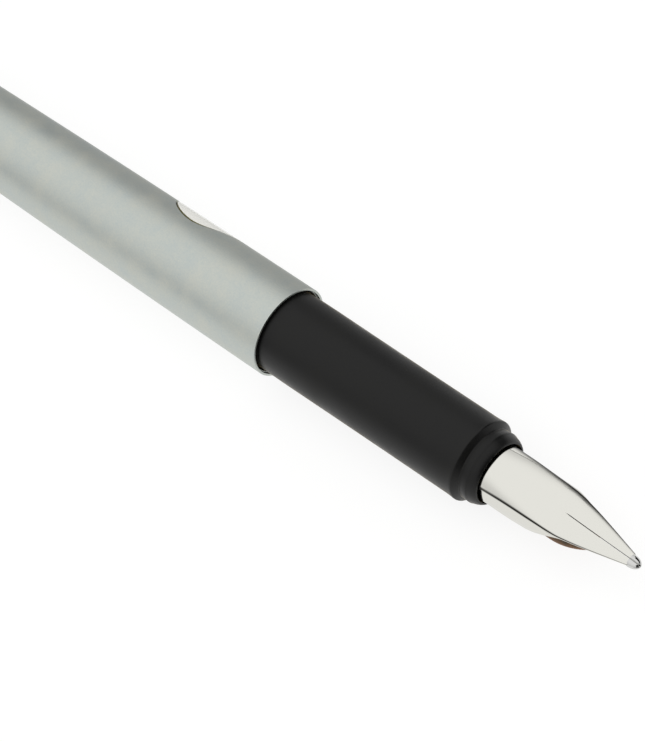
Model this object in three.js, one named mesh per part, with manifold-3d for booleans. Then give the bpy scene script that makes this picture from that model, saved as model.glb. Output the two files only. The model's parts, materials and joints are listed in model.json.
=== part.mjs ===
// Fountain pen for drawing and writing: a tapered metal barrel with an ink window, a black
// moulded grip section, a steel nib over a finned feed, a piston converter inside the barrel,
// and a cap posted on the barrel's rear end. The pen's own axis is X, with the nib at +X and
// the nib's upper face at +Z. Lengths are in millimetres, measured along X from the barrel's
// front lip: positive towards the nib, negative towards the rear.

import * as THREE from 'three';
import * as BufferGeometryUtils from 'three/addons/utils/BufferGeometryUtils.js';
import Module from 'manifold-3d';

const wasm = await Module();
wasm.setup();

// ---------------------------------------------------------------- general
const SHELL_SIDES = 40;          // facets round the barrel, cap and grip
const INNER_SIDES = 28;          // facets round the pieces inside
const SMALL_SIDES = 20;          // facets round rods, screws and the feed
const SLIDING_GAP = 0.05;        // between round pieces that slide or push together
const LOOSE_GAP = 0.3;           // between a cut piece and its neighbour
const CURVE_STEPS = 8;           // along each curve of a flat outline

// ---------------------------------------------------------------- barrel
const BARREL_LENGTH = 74.5;
const BARREL_FRONT_RADIUS = 5.8;
const BARREL_DROP = 0.677;       // radius lost from the lip to the tube's rear end
const BARREL_WALL = 0.38;
const BARREL_STATIONS = 7;

const PLUG_HEAD = 1.5;           // end plug, the part that shows
const PLUG_SPIGOT = 4.5;         // end plug, the part inside the tube
const PLUG_CHAMFER = 0.6;

const WINDOW_TURN = THREE.MathUtils.degToRad(77);   // from the nib's upper side towards +Y
const WINDOW_WIDEST = -17.5;
const WINDOW_HALF_WIDTH = 3.77;
const WINDOW_REAR_REACH = 5.1;   // from the widest point back to the round end
const WINDOW_FRONT_REACH = 6.2;  // from the widest point forward to the pointed end
// The curve from the widest point to the pointed end is pulled through these points, each a
// share of the front reach and of the half width.
const WINDOW_NEAR_PULL = [0.34, 1];
const WINDOW_FAR_PULL = [0.63, 0.58];
const WINDOW_GAP = 0.15;
const WINDOW_FLANGE = 0.8;       // how far the hidden rim runs past the cut-out
const WINDOW_FLANGE_WALL = 0.6;

const INSERT_START = -2.6;
const INSERT_LENGTH = 7;
const INSERT_WALL = 0.39;
const THREAD_PITCH = 1.8;
const THREAD_TURNS = 3;
const THREAD_DEPTH = 0.3;

// ---------------------------------------------------------------- grip section
const GRIP_MOUTH_GAP = 0.22;     // dark line between the grip and the barrel's lip
const GRIP_WALL = 0.8;
const GRIP_WAIST = 0.08;         // how much slimmer the grip is at its waist
const GRIP_BEAD = 0.04;          // how much slimmer the grip is at its bead
const GRIP_INSET = 1.6;          // how far the section runs into the barrel's mouth
const BEAD_LENGTH = 2.0;          // from the waist up to the bead
const SHOULDER_LENGTH = 1.6;     // where the bead rounds down to the snap ring
const SHOULDER_ROUNDING = [[0.6, 0.05], [1.0, 0.28]];   // how far on, and how far in
const SNAP_RING_STEP = 0.67;     // from the grip down to the snap ring
const SNAP_RING_LENGTH = 0.8;
const NOSE_LENGTH = 1.2;         // rounded end ahead of the snap ring
const NOSE_ROUNDING = [[0.5, 0.17], [0.9, 0.4]];        // how far on, and how far in
const SECTION_FRONT = 33.0;      // the section's front end
const SECTION_MOUTH_GAP = 0.11;  // round the nib's side walls

const COLLAR_FRONT = 4.0;        // thread collar, end pressed into the grip
const COLLAR_REAR = -10.2;
const CONVERTER_GAP = 0.25;      // round the converter's tube inside the collar
const SEAL_THICKNESS = 0.32;     // radius of the ring's own round section
const SEAL_CORNERS = 8;

const NIPPLE_BASE = 9.0;
const NIPPLE_FLANGE = 2.0;
const NIPPLE_LENGTH = 6.2;
const NIPPLE_BORE = 0.8;
const NIPPLE_TAPER_LENGTH = 1.0;
const NIPPLE_TAPER = 0.4;        // radius lost along the tapered end

// ---------------------------------------------------------------- nib and feed
const NIB_TAIL = 10.0;           // nib hidden inside the section
const NIB_LENGTH = 18.7;         // from the section's front to the ends of the tines
const NIB_THICKNESS = 0.3;
const NIB_STEPS = 16;
const NIB_HALF_STEPS = 6;
const SLIT_START = 9.7;          // from the section's front
const SLIT_WIDTH = 0.14;
const TIP_RADIUS = 0.62;
const TIP_HEIGHT = 0.4;
const TIP_SIDES = 16;
const TIP_RINGS = 10;
const CREASE_AT = 0.75;          // share of the way across from the crest to the wall's edge
const CREST_ROUNDNESS = 0.76;    // 0 is nearly flat between the creases, 1 a half circle
const WALL_ROUNDNESS = 1.6;      // how soon a side wall reaches its full width
const WALL_TUCK = 1.5;           // how far a side wall runs past its widest line

// Shape of the nib, as distance ahead of the section's front and size there.
const NIB_CREASE_WIDTH = [[0, 3.12], [8, 2.9], [10, 2.78], [11.5, 2.52], [13, 2.2], [19.4, 0.62]];
const NIB_CREASE_HEIGHT = [[0, 1.74], [3, 1.95], [7, 1.74], [9, 1.55], [11, 1.22], [15, 1.0], [19.4, 0.72]];
const NIB_CREST_HEIGHT = [[0, 3.5], [9.7, 1.62], [14, 1.2], [19.4, 0.8]];
const NIB_WALL_WIDTH = [[0, 3.75], [7, 3.46], [8.5, 3.3]];
const NIB_WALL_HEIGHT = [[0, 0.6], [7, 0.25]];
const NIB_WALL_DEPTH = [[0, 1], [7.6, 1], [10.4, 0.06]];   // how much of the side wall is left

const FEED_RADIUS = 3.0;
const FEED_SEAT = 13.2;
const FEED_TAIL_RADIUS = 1.7;
const FEED_TAIL_END = 11.4;
const FEED_NOSE_START = 10.0;    // from the section's front
const FEED_NOSE_END = 13.2;      // from the section's front
const FEED_NOSE_RADIUS = 1.9;
const FEED_NOSE_ROUNDNESS = 0.88;   // share of the feed's radius left halfway along its nose
const FEED_FRONT_LAND = 2.0;     // plain stretch between the fins and the nose
const FEED_TAIL_CLEARANCE = 1.0; // behind the nib's tail
const FEED_FINS = 5;
const FEED_FIN_PITCH = 2.0;
const FEED_FIN_GROOVE = 0.8;
const FEED_FIN_DEPTH = 0.9;

// ---------------------------------------------------------------- converter
const TUBE_RADIUS = 3.5;
const TUBE_WALL = 0.6;
const TUBE_LENGTH = 34.6;
const MOUTH_FLANGE = 1.0;
const MOUTH_PLUG = 4.0;
const MOUTH_WALL = 0.6;
const RING_WALL = 0.25;
const RING_LENGTH = 9.0;
const RING_OVERLAP = 3.0;        // how far the metal ring grips the tube
const NUT_LENGTH = 3.6;
const ROD_RADIUS = 1.0;
const ROD_GAP_IN_KNOB = 0.4;
const ROD_STICKOUT = 1.2;        // behind the metal ring at rest
const PISTON_LENGTH = 5.0;
const PISTON_WAIST = 0.5;        // how much slimmer the piston is between its lips
const PISTON_LIP = 0.8;
const PISTON_LIP_TAPER = 0.4;
const PISTON_NOSE = 0.6;         // ahead of the front lip
const PISTON_FLOOR = 2.0;        // rubber ahead of the rod's end
const PISTON_TRAVEL = 18.0;
const PISTON_CLEARANCE = 0.6;    // between the piston and the nipple's end at rest
const KNOB_RADIUS = 3.7;
const KNOB_END_WALL = 2.0;
const KNOB_CHAMFER = 0.5;

// ---------------------------------------------------------------- cap
const CAP_WALL = 0.36;
const FINIAL_HEAD = 2.4;
const FINIAL_SPIGOT = 2.0;
const FINIAL_CHAMFER = 0.5;
const INNER_CAP_GRASP = 1.6;     // how far the inner cap reaches over the capped section
const NIB_HEADROOM = 3.0;        // from the capped nib's tip to the inner cap's rear end
const CLIP_ROOM = 2.5;           // from the inner cap's rear end to the cap tube's
const INNER_CAP_WALL = 0.6;
const INNER_CAP_FLOOR = 1.2;
const SCREW_RADIUS = 1.1;
const SCREW_HEAD_RADIUS = 1.9;
const SCREW_HEAD = 0.7;

const CLIP_WIDTH = 3.6;
const CLIP_THICKNESS = 0.8;
const CLIP_REACH = 8.4;          // outer face of the clip, from the pen's axis
const CLIP_LENGTH = 38.0;
const CLIP_TAB_RADIUS = 2.9;     // how deep the clip's root runs towards the axis
const CLIP_FOOT_GAP = 0.3;       // between the clip's foot and the cap
const CLIP_BEND = 9.0;           // from the toe back to where the arm bends in
const CLIP_BEND_PULL = 5.0;      // from the toe back to the point that the bend curves to
const CLIP_FOOT_REAR = 3.4;      // from the toe back to the foot's rear edge
const CLIP_FOOT_FRONT = 2.2;     // from the toe back to the foot's front edge

// ---------------------------------------------------------------- fits
// Each of these follows from the piece that it fits in or on.
const barrelRadius = (x) => BARREL_FRONT_RADIUS - BARREL_DROP * (x / BARREL_LENGTH) ** 2;
const GRIP_RADIUS = BARREL_FRONT_RADIUS - BARREL_WALL - GRIP_MOUTH_GAP;
const COLLAR_RADIUS = GRIP_RADIUS - GRIP_WALL;
const INSERT_END = INSERT_START - INSERT_LENGTH;
const INSERT_RADIUS = barrelRadius(INSERT_END) - BARREL_WALL - SLIDING_GAP;
const THREAD_RADIUS = INSERT_RADIUS - INSERT_WALL - THREAD_DEPTH - SLIDING_GAP;
const SNAP_RING_RADIUS = GRIP_RADIUS - SNAP_RING_STEP;
const SECTION_MOUTH_RADIUS = NIB_WALL_WIDTH[0][1] + SECTION_MOUTH_GAP;
const CONVERTER_BORE = TUBE_RADIUS + CONVERTER_GAP;
const TUBE_BORE = TUBE_RADIUS - TUBE_WALL;
const NIPPLE_RADIUS = TUBE_BORE - MOUTH_WALL - 2 * SLIDING_GAP;
const RING_RADIUS = TUBE_RADIUS + SLIDING_GAP + RING_WALL;
const KNOB_BORE = ROD_RADIUS + ROD_GAP_IN_KNOB;

// ---------------------------------------------------------------- materials
function material(color, roughness, metalness, opacity = 1) {
  return new THREE.MeshStandardMaterial({
    color, roughness, metalness, opacity, transparent: opacity < 1,
  });
}
const ANODISED = material(0xb2b8b4, 0.45, 0.7);
const BLACK_PLASTIC = material(0x25262a, 0.5, 0.0);
const POLISHED_STEEL = material(0xdcdcd6, 0.12, 1.0);
const TIPPING = material(0xc9ccd0, 0.2, 1.0);
const FEED_PLASTIC = material(0x2b211a, 0.45, 0.0);
const CLEAR_WINDOW = material(0xe2e2dc, 0.1, 0.0, 0.5);
const CLEAR_TUBE = material(0xe8ecec, 0.08, 0.0, 0.35);
const BRASS = material(0xb8974f, 0.35, 1.0);
const RUBBER = material(0x1c1c1c, 0.8, 0.0);
const BRIGHT_METAL = material(0xc8c9c9, 0.2, 1.0);
const WHITE_PLASTIC = material(0xdedbd2, 0.5, 0.0);

// ---------------------------------------------------------------- solids
/** A closed three.js geometry as a manifold solid, with shared corners merged. */
function solidFrom(geometry) {
  const bare = geometry.clone();
  bare.deleteAttribute('normal');
  bare.deleteAttribute('uv');
  const merged = BufferGeometryUtils.mergeVertices(bare);
  const corners = merged.index.array;
  const triangles = [];
  for (let i = 0; i < corners.length; i += 3) {
    const [a, b, c] = corners.slice(i, i + 3);
    if (a !== b && b !== c && c !== a) triangles.push(a, b, c);
  }
  const mesh = new wasm.Mesh({
    numProp: 3,
    vertProperties: new Float32Array(merged.attributes.position.array),
    triVerts: new Uint32Array(triangles),
  });
  return new wasm.Manifold(mesh);
}

function geometryFrom(solid) {
  const mesh = solid.getMesh();
  const geometry = new THREE.BufferGeometry();
  geometry.setAttribute('position', new THREE.BufferAttribute(mesh.vertProperties, 3));
  geometry.setIndex(new THREE.BufferAttribute(mesh.triVerts, 1));
  geometry.computeVertexNormals();
  return geometry;
}

/** Turns a profile of [x, radius] points about the X axis. A bored profile closes on itself. */
function turned(profile, sides, bored = false) {
  const points = profile.map(([x, radius]) => new THREE.Vector2(radius, x));
  if (bored) points.push(points[0].clone());
  const area = THREE.ShapeUtils.area(points);
  if (area < 0) points.reverse();
  const geometry = new THREE.LatheGeometry(points, sides, Math.PI / sides);
  geometry.rotateZ(-Math.PI / 2);
  return solidFrom(geometry);
}

/** A plain tube or ring between two places along X. */
function ring(start, end, outer, inner, sides) {
  return turned([[start, inner], [end, inner], [end, outer], [start, outer]], sides, true);
}

/** A plain round rod between two places along X. */
function rod(start, end, radius, sides) {
  return turned([[start, 0], [end, 0], [end, radius], [start, radius]], sides, true);
}

/** The value at x on a line of [x, value] points, held level past both ends. */
function valueAt(x, line) {
  if (x <= line[0][0]) return line[0][1];
  for (let i = 1; i < line.length; i += 1) {
    const [x0, v0] = line[i - 1];
    const [x1, v1] = line[i];
    if (x <= x1) return THREE.MathUtils.mapLinear(x, x0, x1, v0, v1);
  }
  return line[line.length - 1][1];
}

// ---------------------------------------------------------------- pieces of the barrel
/** A shell along the barrel's taper, between two distances inside its outer face. */
function barrelShell(start, end, outerInset, innerInset) {
  const outer = [];
  const inner = [];
  const station = BARREL_LENGTH / (BARREL_STATIONS - 1);
  const steps = Math.ceil((start - end) / station);
  for (let i = 0; i <= steps; i += 1) {
    const x = THREE.MathUtils.lerp(start, end, i / steps);
    outer.push([x, barrelRadius(x) - outerInset]);
    inner.unshift([x, barrelRadius(x) - innerInset]);
  }
  return turned([...outer, ...inner], SHELL_SIDES, true);
}

/** A radial prism with the window's teardrop outline, grown by a margin. */
function windowPrism(margin) {
  const halfWidth = WINDOW_HALF_WIDTH + margin;
  const rear = WINDOW_WIDEST - WINDOW_REAR_REACH - margin;
  const front = WINDOW_WIDEST + WINDOW_FRONT_REACH + margin;
  const shape = new THREE.Shape();
  const near = new THREE.Vector2(...WINDOW_NEAR_PULL);
  const far = new THREE.Vector2(...WINDOW_FAR_PULL);
  for (const pull of [near, far]) {
    pull.set(WINDOW_WIDEST + pull.x * WINDOW_FRONT_REACH, pull.y * halfWidth);
  }
  shape.moveTo(front, 0);
  shape.bezierCurveTo(far.x, far.y, near.x, near.y, WINDOW_WIDEST, halfWidth);
  shape.absellipse(WINDOW_WIDEST, 0, WINDOW_WIDEST - rear, halfWidth, Math.PI / 2, -Math.PI / 2);
  shape.bezierCurveTo(near.x, -near.y, far.x, -far.y, front, 0);
  const geometry = new THREE.ExtrudeGeometry(shape, {
    depth: 2 * BARREL_FRONT_RADIUS, bevelEnabled: false, curveSegments: CURVE_STEPS,
  });
  geometry.rotateX(-WINDOW_TURN);
  return solidFrom(geometry);
}

function barrelTube() {
  const shell = barrelShell(0, -BARREL_LENGTH, 0, BARREL_WALL);
  return shell.subtract(windowPrism(0));
}

function inkWindow() {
  const inside = BARREL_WALL + WINDOW_GAP;
  const start = WINDOW_WIDEST + WINDOW_FRONT_REACH + 2 * WINDOW_FLANGE;
  const end = WINDOW_WIDEST - WINDOW_REAR_REACH - 2 * WINDOW_FLANGE;
  const pane = barrelShell(start, end, 0, inside + WINDOW_FLANGE_WALL);
  const rim = barrelShell(start, end, inside, inside + WINDOW_FLANGE_WALL);
  const proudPane = pane.intersect(windowPrism(-WINDOW_GAP));
  return proudPane.add(rim.intersect(windowPrism(WINDOW_FLANGE)));
}

/** Square-cut rings along a thread, as profile points from start to end. */
function threadLine(start, count, root, crest) {
  const points = [];
  for (let i = 0; i < count; i += 1) {
    const x = start - i * THREAD_PITCH;
    points.push([x, root], [x - THREAD_PITCH / 4, crest]);
    points.push([x - THREAD_PITCH / 2, crest], [x - 3 * THREAD_PITCH / 4, root]);
  }
  return points;
}

function barrelThreadInsert() {
  const crest = THREAD_RADIUS + SLIDING_GAP;
  const root = crest + THREAD_DEPTH;
  const thread = threadLine(INSERT_START - THREAD_PITCH / 2, THREAD_TURNS, root, crest);
  return turned([
    [INSERT_START, INSERT_RADIUS], [INSERT_START, root], ...thread,
    [INSERT_END, root], [INSERT_END, INSERT_RADIUS],
  ], INNER_SIDES, true);
}

function barrelEndPlug() {
  const tubeEnd = -BARREL_LENGTH;
  const spigotRadius = barrelRadius(tubeEnd) - BARREL_WALL - SLIDING_GAP;
  const headRadius = barrelRadius(tubeEnd);
  return turned([
    [tubeEnd + PLUG_SPIGOT, 0], [tubeEnd + PLUG_SPIGOT, spigotRadius],
    [tubeEnd, spigotRadius], [tubeEnd, headRadius],
    [tubeEnd - PLUG_HEAD + PLUG_CHAMFER, headRadius],
    [tubeEnd - PLUG_HEAD, headRadius - PLUG_CHAMFER], [tubeEnd - PLUG_HEAD, 0],
  ], SHELL_SIDES, true);
}

// ---------------------------------------------------------------- pieces of the section
function gripSection() {
  const webStart = NIPPLE_BASE + NIPPLE_FLANGE + SLIDING_GAP;
  const collarSeat = COLLAR_RADIUS + SLIDING_GAP;
  const nibSeat = SECTION_FRONT - NIB_TAIL - LOOSE_GAP;
  const ringEnd = SECTION_FRONT - NOSE_LENGTH;
  const shoulder = ringEnd - SNAP_RING_LENGTH - SHOULDER_LENGTH;
  const waistStart = shoulder / 2;
  const waistEnd = shoulder - BEAD_LENGTH;
  const waist = GRIP_RADIUS - GRIP_WAIST;
  const bead = GRIP_RADIUS - GRIP_BEAD;
  const shoulderRound = SHOULDER_ROUNDING.map(([on, inwards]) => [shoulder + on, bead - inwards]);
  const noseRound = NOSE_ROUNDING.map(([on, inwards]) => [ringEnd + on, SNAP_RING_RADIUS - inwards]);
  return turned([
    [-GRIP_INSET, collarSeat], [-GRIP_INSET, GRIP_RADIUS], [COLLAR_FRONT, GRIP_RADIUS],
    [waistStart, waist], [waistEnd, waist], [shoulder, bead], ...shoulderRound,
    [shoulder + SHOULDER_LENGTH, SNAP_RING_RADIUS], [ringEnd, SNAP_RING_RADIUS], ...noseRound,
    [SECTION_FRONT, SECTION_MOUTH_RADIUS],
    [nibSeat, SECTION_MOUTH_RADIUS], [nibSeat, FEED_RADIUS + 2 * SLIDING_GAP],
    [FEED_SEAT - SLIDING_GAP, FEED_RADIUS + 2 * SLIDING_GAP],
    [FEED_SEAT - SLIDING_GAP, FEED_TAIL_RADIUS + 2 * SLIDING_GAP],
    [webStart, FEED_TAIL_RADIUS + 2 * SLIDING_GAP], [webStart, CONVERTER_BORE],
    [COLLAR_FRONT + SLIDING_GAP, CONVERTER_BORE], [COLLAR_FRONT + SLIDING_GAP, collarSeat],
  ], SHELL_SIDES, true);
}

function sectionThreadCollar() {
  const root = THREAD_RADIUS - THREAD_DEPTH;
  const thread = threadLine(INSERT_START - THREAD_PITCH, THREAD_TURNS, root, THREAD_RADIUS);
  return turned([
    [COLLAR_REAR, CONVERTER_BORE], [COLLAR_FRONT, CONVERTER_BORE], [COLLAR_FRONT, COLLAR_RADIUS],
    [-GRIP_INSET, COLLAR_RADIUS], [-GRIP_INSET, root], ...thread, [COLLAR_REAR, root],
  ], INNER_SIDES, true);
}

/** A rubber ring squeezed between the section's rear face and the barrel's insert. */
function jointSeal() {
  const centre = (INSERT_START - GRIP_INSET) / 2;
  const inner = THREAD_RADIUS - THREAD_DEPTH;
  const outer = BARREL_FRONT_RADIUS - BARREL_WALL;
  const radius = (inner + outer) / 2;
  const points = [];
  for (let i = 0; i < SEAL_CORNERS; i += 1) {
    const angle = (i / SEAL_CORNERS) * 2 * Math.PI;
    points.push([
      centre + SEAL_THICKNESS * Math.cos(angle), radius + SEAL_THICKNESS * Math.sin(angle),
    ]);
  }
  return turned(points, INNER_SIDES, true);
}

function inkNipple() {
  const flangeEnd = NIPPLE_BASE + NIPPLE_FLANGE;
  const tip = NIPPLE_BASE - NIPPLE_LENGTH;
  return turned([
    [tip, NIPPLE_BORE], [flangeEnd, NIPPLE_BORE], [flangeEnd, CONVERTER_BORE - SLIDING_GAP],
    [NIPPLE_BASE, CONVERTER_BORE - SLIDING_GAP], [NIPPLE_BASE, NIPPLE_RADIUS],
    [tip + NIPPLE_TAPER_LENGTH, NIPPLE_RADIUS], [tip, NIPPLE_RADIUS - NIPPLE_TAPER],
  ], INNER_SIDES, true);
}

// ---------------------------------------------------------------- nib and feed
/**
 * Outline of the nib's outer face across the pen, x ahead of the section's front. It runs from
 * the lower edge of one side wall over the crest to the other, as -1 <= across <= 1.
 */
function nibPoint(x, across) {
  const side = Math.sign(across);
  const reach = Math.abs(across);
  const creaseWidth = valueAt(x, NIB_CREASE_WIDTH);
  const creaseHeight = valueAt(x, NIB_CREASE_HEIGHT);
  if (reach <= CREASE_AT) {
    const part = reach / CREASE_AT;
    const fall = Math.sqrt(1 - CREST_ROUNDNESS);
    const rise = (Math.sqrt(1 - CREST_ROUNDNESS * part * part) - fall) / (1 - fall);
    const crest = valueAt(x, NIB_CREST_HEIGHT);
    return new THREE.Vector2(side * part * creaseWidth, creaseHeight + rise * (crest - creaseHeight));
  }
  const down = ((reach - CREASE_AT) / (1 - CREASE_AT)) * valueAt(x, NIB_WALL_DEPTH);
  const wallWidth = valueAt(x, NIB_WALL_WIDTH);
  const wallDrop = creaseHeight - valueAt(x, NIB_WALL_HEIGHT);
  const bulge = Math.sin(Math.min(1, down * WALL_ROUNDNESS) * Math.PI / 2);
  const width = creaseWidth + bulge * (wallWidth - creaseWidth);
  return new THREE.Vector2(side * width, creaseHeight - WALL_TUCK * down * wallDrop);
}

/** The nib's sheet between two distances inside its outer face, as stamped and bent. */
function nibSheet(outerInset, innerInset, start, end) {
  const step = 0.02;
  const geometry = new THREE.BoxGeometry(1, 1, 1, NIB_STEPS, 2 * NIB_HALF_STEPS, 1);
  const corners = geometry.attributes.position;
  for (let i = 0; i < corners.count; i += 1) {
    const x = THREE.MathUtils.lerp(start, end, corners.getX(i) + 0.5);
    const across = 2 * corners.getY(i);
    const inset = corners.getZ(i) > 0 ? outerInset : innerInset;
    const point = nibPoint(x, across);
    const ahead = nibPoint(x, Math.min(1, across + step));
    const behind = nibPoint(x, Math.max(-1, across - step));
    const along = ahead.sub(behind).normalize();
    corners.setXYZ(i, SECTION_FRONT + x, point.x + inset * along.y, point.y - inset * along.x);
  }
  return solidFrom(geometry);
}

function nib() {
  const sheet = nibSheet(0, NIB_THICKNESS, -NIB_TAIL, NIB_LENGTH);
  const slitLength = NIB_LENGTH - SLIT_START;
  const slit = new THREE.BoxGeometry(2 * slitLength, SLIT_WIDTH, 4 * FEED_RADIUS);
  slit.translate(SECTION_FRONT + SLIT_START + slitLength, 0, 0);
  return sheet.subtract(solidFrom(slit));
}

function nibTip() {
  const geometry = new THREE.SphereGeometry(TIP_RADIUS, TIP_SIDES, TIP_RINGS);
  const x = SECTION_FRONT + NIB_LENGTH + SLIDING_GAP + TIP_RADIUS;
  geometry.translate(x, 0, TIP_HEIGHT);
  return solidFrom(geometry);
}

function feed() {
  const noseStart = SECTION_FRONT + FEED_NOSE_START;
  const noseEnd = SECTION_FRONT + FEED_NOSE_END;
  const finsStart = noseStart - FEED_FINS * FEED_FIN_PITCH - FEED_FRONT_LAND;
  const root = FEED_RADIUS - FEED_FIN_DEPTH;
  const fins = [];
  for (let i = 0; i < FEED_FINS; i += 1) {
    const x = finsStart + i * FEED_FIN_PITCH;
    fins.push([x, FEED_RADIUS], [x, root], [x + FEED_FIN_GROOVE, root]);
    fins.push([x + FEED_FIN_GROOVE, FEED_RADIUS]);
  }
  const body = turned([
    [FEED_TAIL_END, 0], [FEED_TAIL_END, FEED_TAIL_RADIUS], [FEED_SEAT, FEED_TAIL_RADIUS],
    [FEED_SEAT, FEED_RADIUS], ...fins, [noseStart, FEED_RADIUS],
    [(noseStart + noseEnd) / 2, FEED_NOSE_ROUNDNESS * FEED_RADIUS], [noseEnd, FEED_NOSE_RADIUS],
    [noseEnd, 0],
  ], SMALL_SIDES, true);
  const underNib = NIB_THICKNESS + SLIDING_GAP;
  const roof = nibSheet(-FEED_RADIUS, underNib, -NIB_TAIL - FEED_TAIL_CLEARANCE, NIB_LENGTH);
  return body.subtract(roof);
}

// ---------------------------------------------------------------- pieces of the converter
const MOUTH_FRONT = NIPPLE_BASE - LOOSE_GAP;
const TUBE_FRONT = MOUTH_FRONT - MOUTH_FLANGE - SLIDING_GAP;
const TUBE_REAR = TUBE_FRONT - TUBE_LENGTH;
const RING_FRONT = TUBE_REAR + RING_OVERLAP;
const RING_REAR = RING_FRONT - RING_LENGTH;
const PISTON_FRONT = NIPPLE_BASE - NIPPLE_LENGTH - PISTON_CLEARANCE;
const ROD_REAR = RING_REAR - ROD_STICKOUT;
const KNOB_FRONT = RING_REAR - LOOSE_GAP;
const KNOB_REAR = ROD_REAR - PISTON_TRAVEL - KNOB_END_WALL - LOOSE_GAP;

const converterTube = () => ring(TUBE_REAR, TUBE_FRONT, TUBE_RADIUS, TUBE_BORE, INNER_SIDES);

function converterMouth() {
  const bore = NIPPLE_RADIUS + SLIDING_GAP;
  const plugRadius = TUBE_BORE - SLIDING_GAP;
  const flangeRear = MOUTH_FRONT - MOUTH_FLANGE;
  return turned([
    [flangeRear - MOUTH_PLUG, bore], [MOUTH_FRONT, bore], [MOUTH_FRONT, TUBE_RADIUS],
    [flangeRear, TUBE_RADIUS], [flangeRear, plugRadius], [flangeRear - MOUTH_PLUG, plugRadius],
  ], INNER_SIDES, true);
}

function converterRing() {
  const overTube = TUBE_RADIUS + SLIDING_GAP;
  const stepAt = TUBE_REAR - SLIDING_GAP;
  const bore = TUBE_RADIUS - RING_WALL;
  return turned([
    [RING_REAR, bore], [stepAt, bore], [stepAt, overTube], [RING_FRONT, overTube],
    [RING_FRONT, RING_RADIUS], [RING_REAR, RING_RADIUS],
  ], INNER_SIDES, true);
}

function pistonNut() {
  const front = TUBE_REAR - SLIDING_GAP;
  const radius = TUBE_RADIUS - RING_WALL - SLIDING_GAP;
  return ring(front - NUT_LENGTH, front, radius, ROD_RADIUS + SLIDING_GAP, INNER_SIDES);
}

function pistonSeal() {
  const rear = PISTON_FRONT - PISTON_LENGTH;
  const lip = TUBE_BORE - SLIDING_GAP;
  const waist = lip - PISTON_WAIST;
  const frontLip = PISTON_FRONT - PISTON_NOSE;
  const socket = ROD_RADIUS + SLIDING_GAP;
  return turned([
    [PISTON_FRONT, 0], [PISTON_FRONT, waist], [frontLip, lip], [frontLip - PISTON_LIP, lip],
    [frontLip - PISTON_LIP - PISTON_LIP_TAPER, waist], [rear + PISTON_LIP + PISTON_LIP_TAPER, waist],
    [rear + PISTON_LIP, lip], [rear, lip], [rear, socket], [PISTON_FRONT - PISTON_FLOOR, socket],
    [PISTON_FRONT - PISTON_FLOOR, 0],
  ], INNER_SIDES, true);
}

function pistonRod() {
  return rod(ROD_REAR, PISTON_FRONT - PISTON_FLOOR - SLIDING_GAP, ROD_RADIUS, SMALL_SIDES);
}

function fillerKnob() {
  const boreEnd = KNOB_REAR + KNOB_END_WALL;
  return turned([
    [boreEnd, 0], [boreEnd, KNOB_BORE], [KNOB_FRONT, KNOB_BORE], [KNOB_FRONT, KNOB_RADIUS],
    [KNOB_REAR + KNOB_CHAMFER, KNOB_RADIUS], [KNOB_REAR, KNOB_RADIUS - KNOB_CHAMFER],
    [KNOB_REAR, 0],
  ], INNER_SIDES, true);
}

// ---------------------------------------------------------------- pieces of the cap
// The posted cap stops where the barrel's taper fills its bore.
const CAP_BORE = BARREL_FRONT_RADIUS - CAP_WALL;
const CAP_LIP = -BARREL_LENGTH * Math.sqrt((CAP_WALL + SLIDING_GAP) / BARREL_DROP);
const INNER_CAP_MOUTH = CAP_LIP - SECTION_FRONT + INNER_CAP_GRASP;
const INNER_CAP_REAR = CAP_LIP - SECTION_FRONT - NIB_LENGTH - 2 * TIP_RADIUS - NIB_HEADROOM;
const CAP_REAR = INNER_CAP_REAR - CLIP_ROOM;
const SPIGOT_FRONT = CAP_REAR + FINIAL_SPIGOT;
const TAB_MIDDLE = (INNER_CAP_REAR + CAP_REAR) / 2;

// The clip's lower corner reaches as far down as the cap does, so the pen lies against it.
const REST_HEIGHT = BARREL_FRONT_RADIUS * Math.cos(Math.PI / SHELL_SIDES);
const CLIP_CORNER = Math.hypot(CLIP_REACH, CLIP_WIDTH / 2);
const CLIP_ABOVE_DOWN = Math.atan2(CLIP_WIDTH / 2, CLIP_REACH) + Math.acos(REST_HEIGHT / CLIP_CORNER);

/** Turns a clip feature from straight above the axis to the clip's side of the cap. */
const toClipSide = (geometry) => geometry.rotateX(Math.PI - CLIP_ABOVE_DOWN);

/** The way through the cap for the clip's root, clear of it all round. */
function clipSlot() {
  const halfWidth = CLIP_WIDTH / 2 + LOOSE_GAP;
  const halfDepth = CLIP_THICKNESS / 2 + LOOSE_GAP;
  const inner = CLIP_TAB_RADIUS - LOOSE_GAP;
  const geometry = new THREE.BoxGeometry(2 * halfDepth, 2 * halfWidth, CLIP_REACH - inner);
  geometry.translate(TAB_MIDDLE, 0, (CLIP_REACH + inner) / 2);
  return solidFrom(toClipSide(geometry));
}

function capTube() {
  const shell = ring(CAP_REAR, CAP_LIP, BARREL_FRONT_RADIUS, CAP_BORE, SHELL_SIDES);
  return shell.subtract(clipSlot());
}

function innerCap() {
  const outer = CAP_BORE - SLIDING_GAP;
  const inner = outer - INNER_CAP_WALL;
  const floor = INNER_CAP_REAR + INNER_CAP_FLOOR;
  const hole = SCREW_RADIUS + SLIDING_GAP;
  return turned([
    [INNER_CAP_MOUTH, inner], [INNER_CAP_MOUTH, outer], [INNER_CAP_REAR, outer],
    [INNER_CAP_REAR, hole], [floor, hole], [floor, inner],
  ], SHELL_SIDES, true);
}

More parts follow.
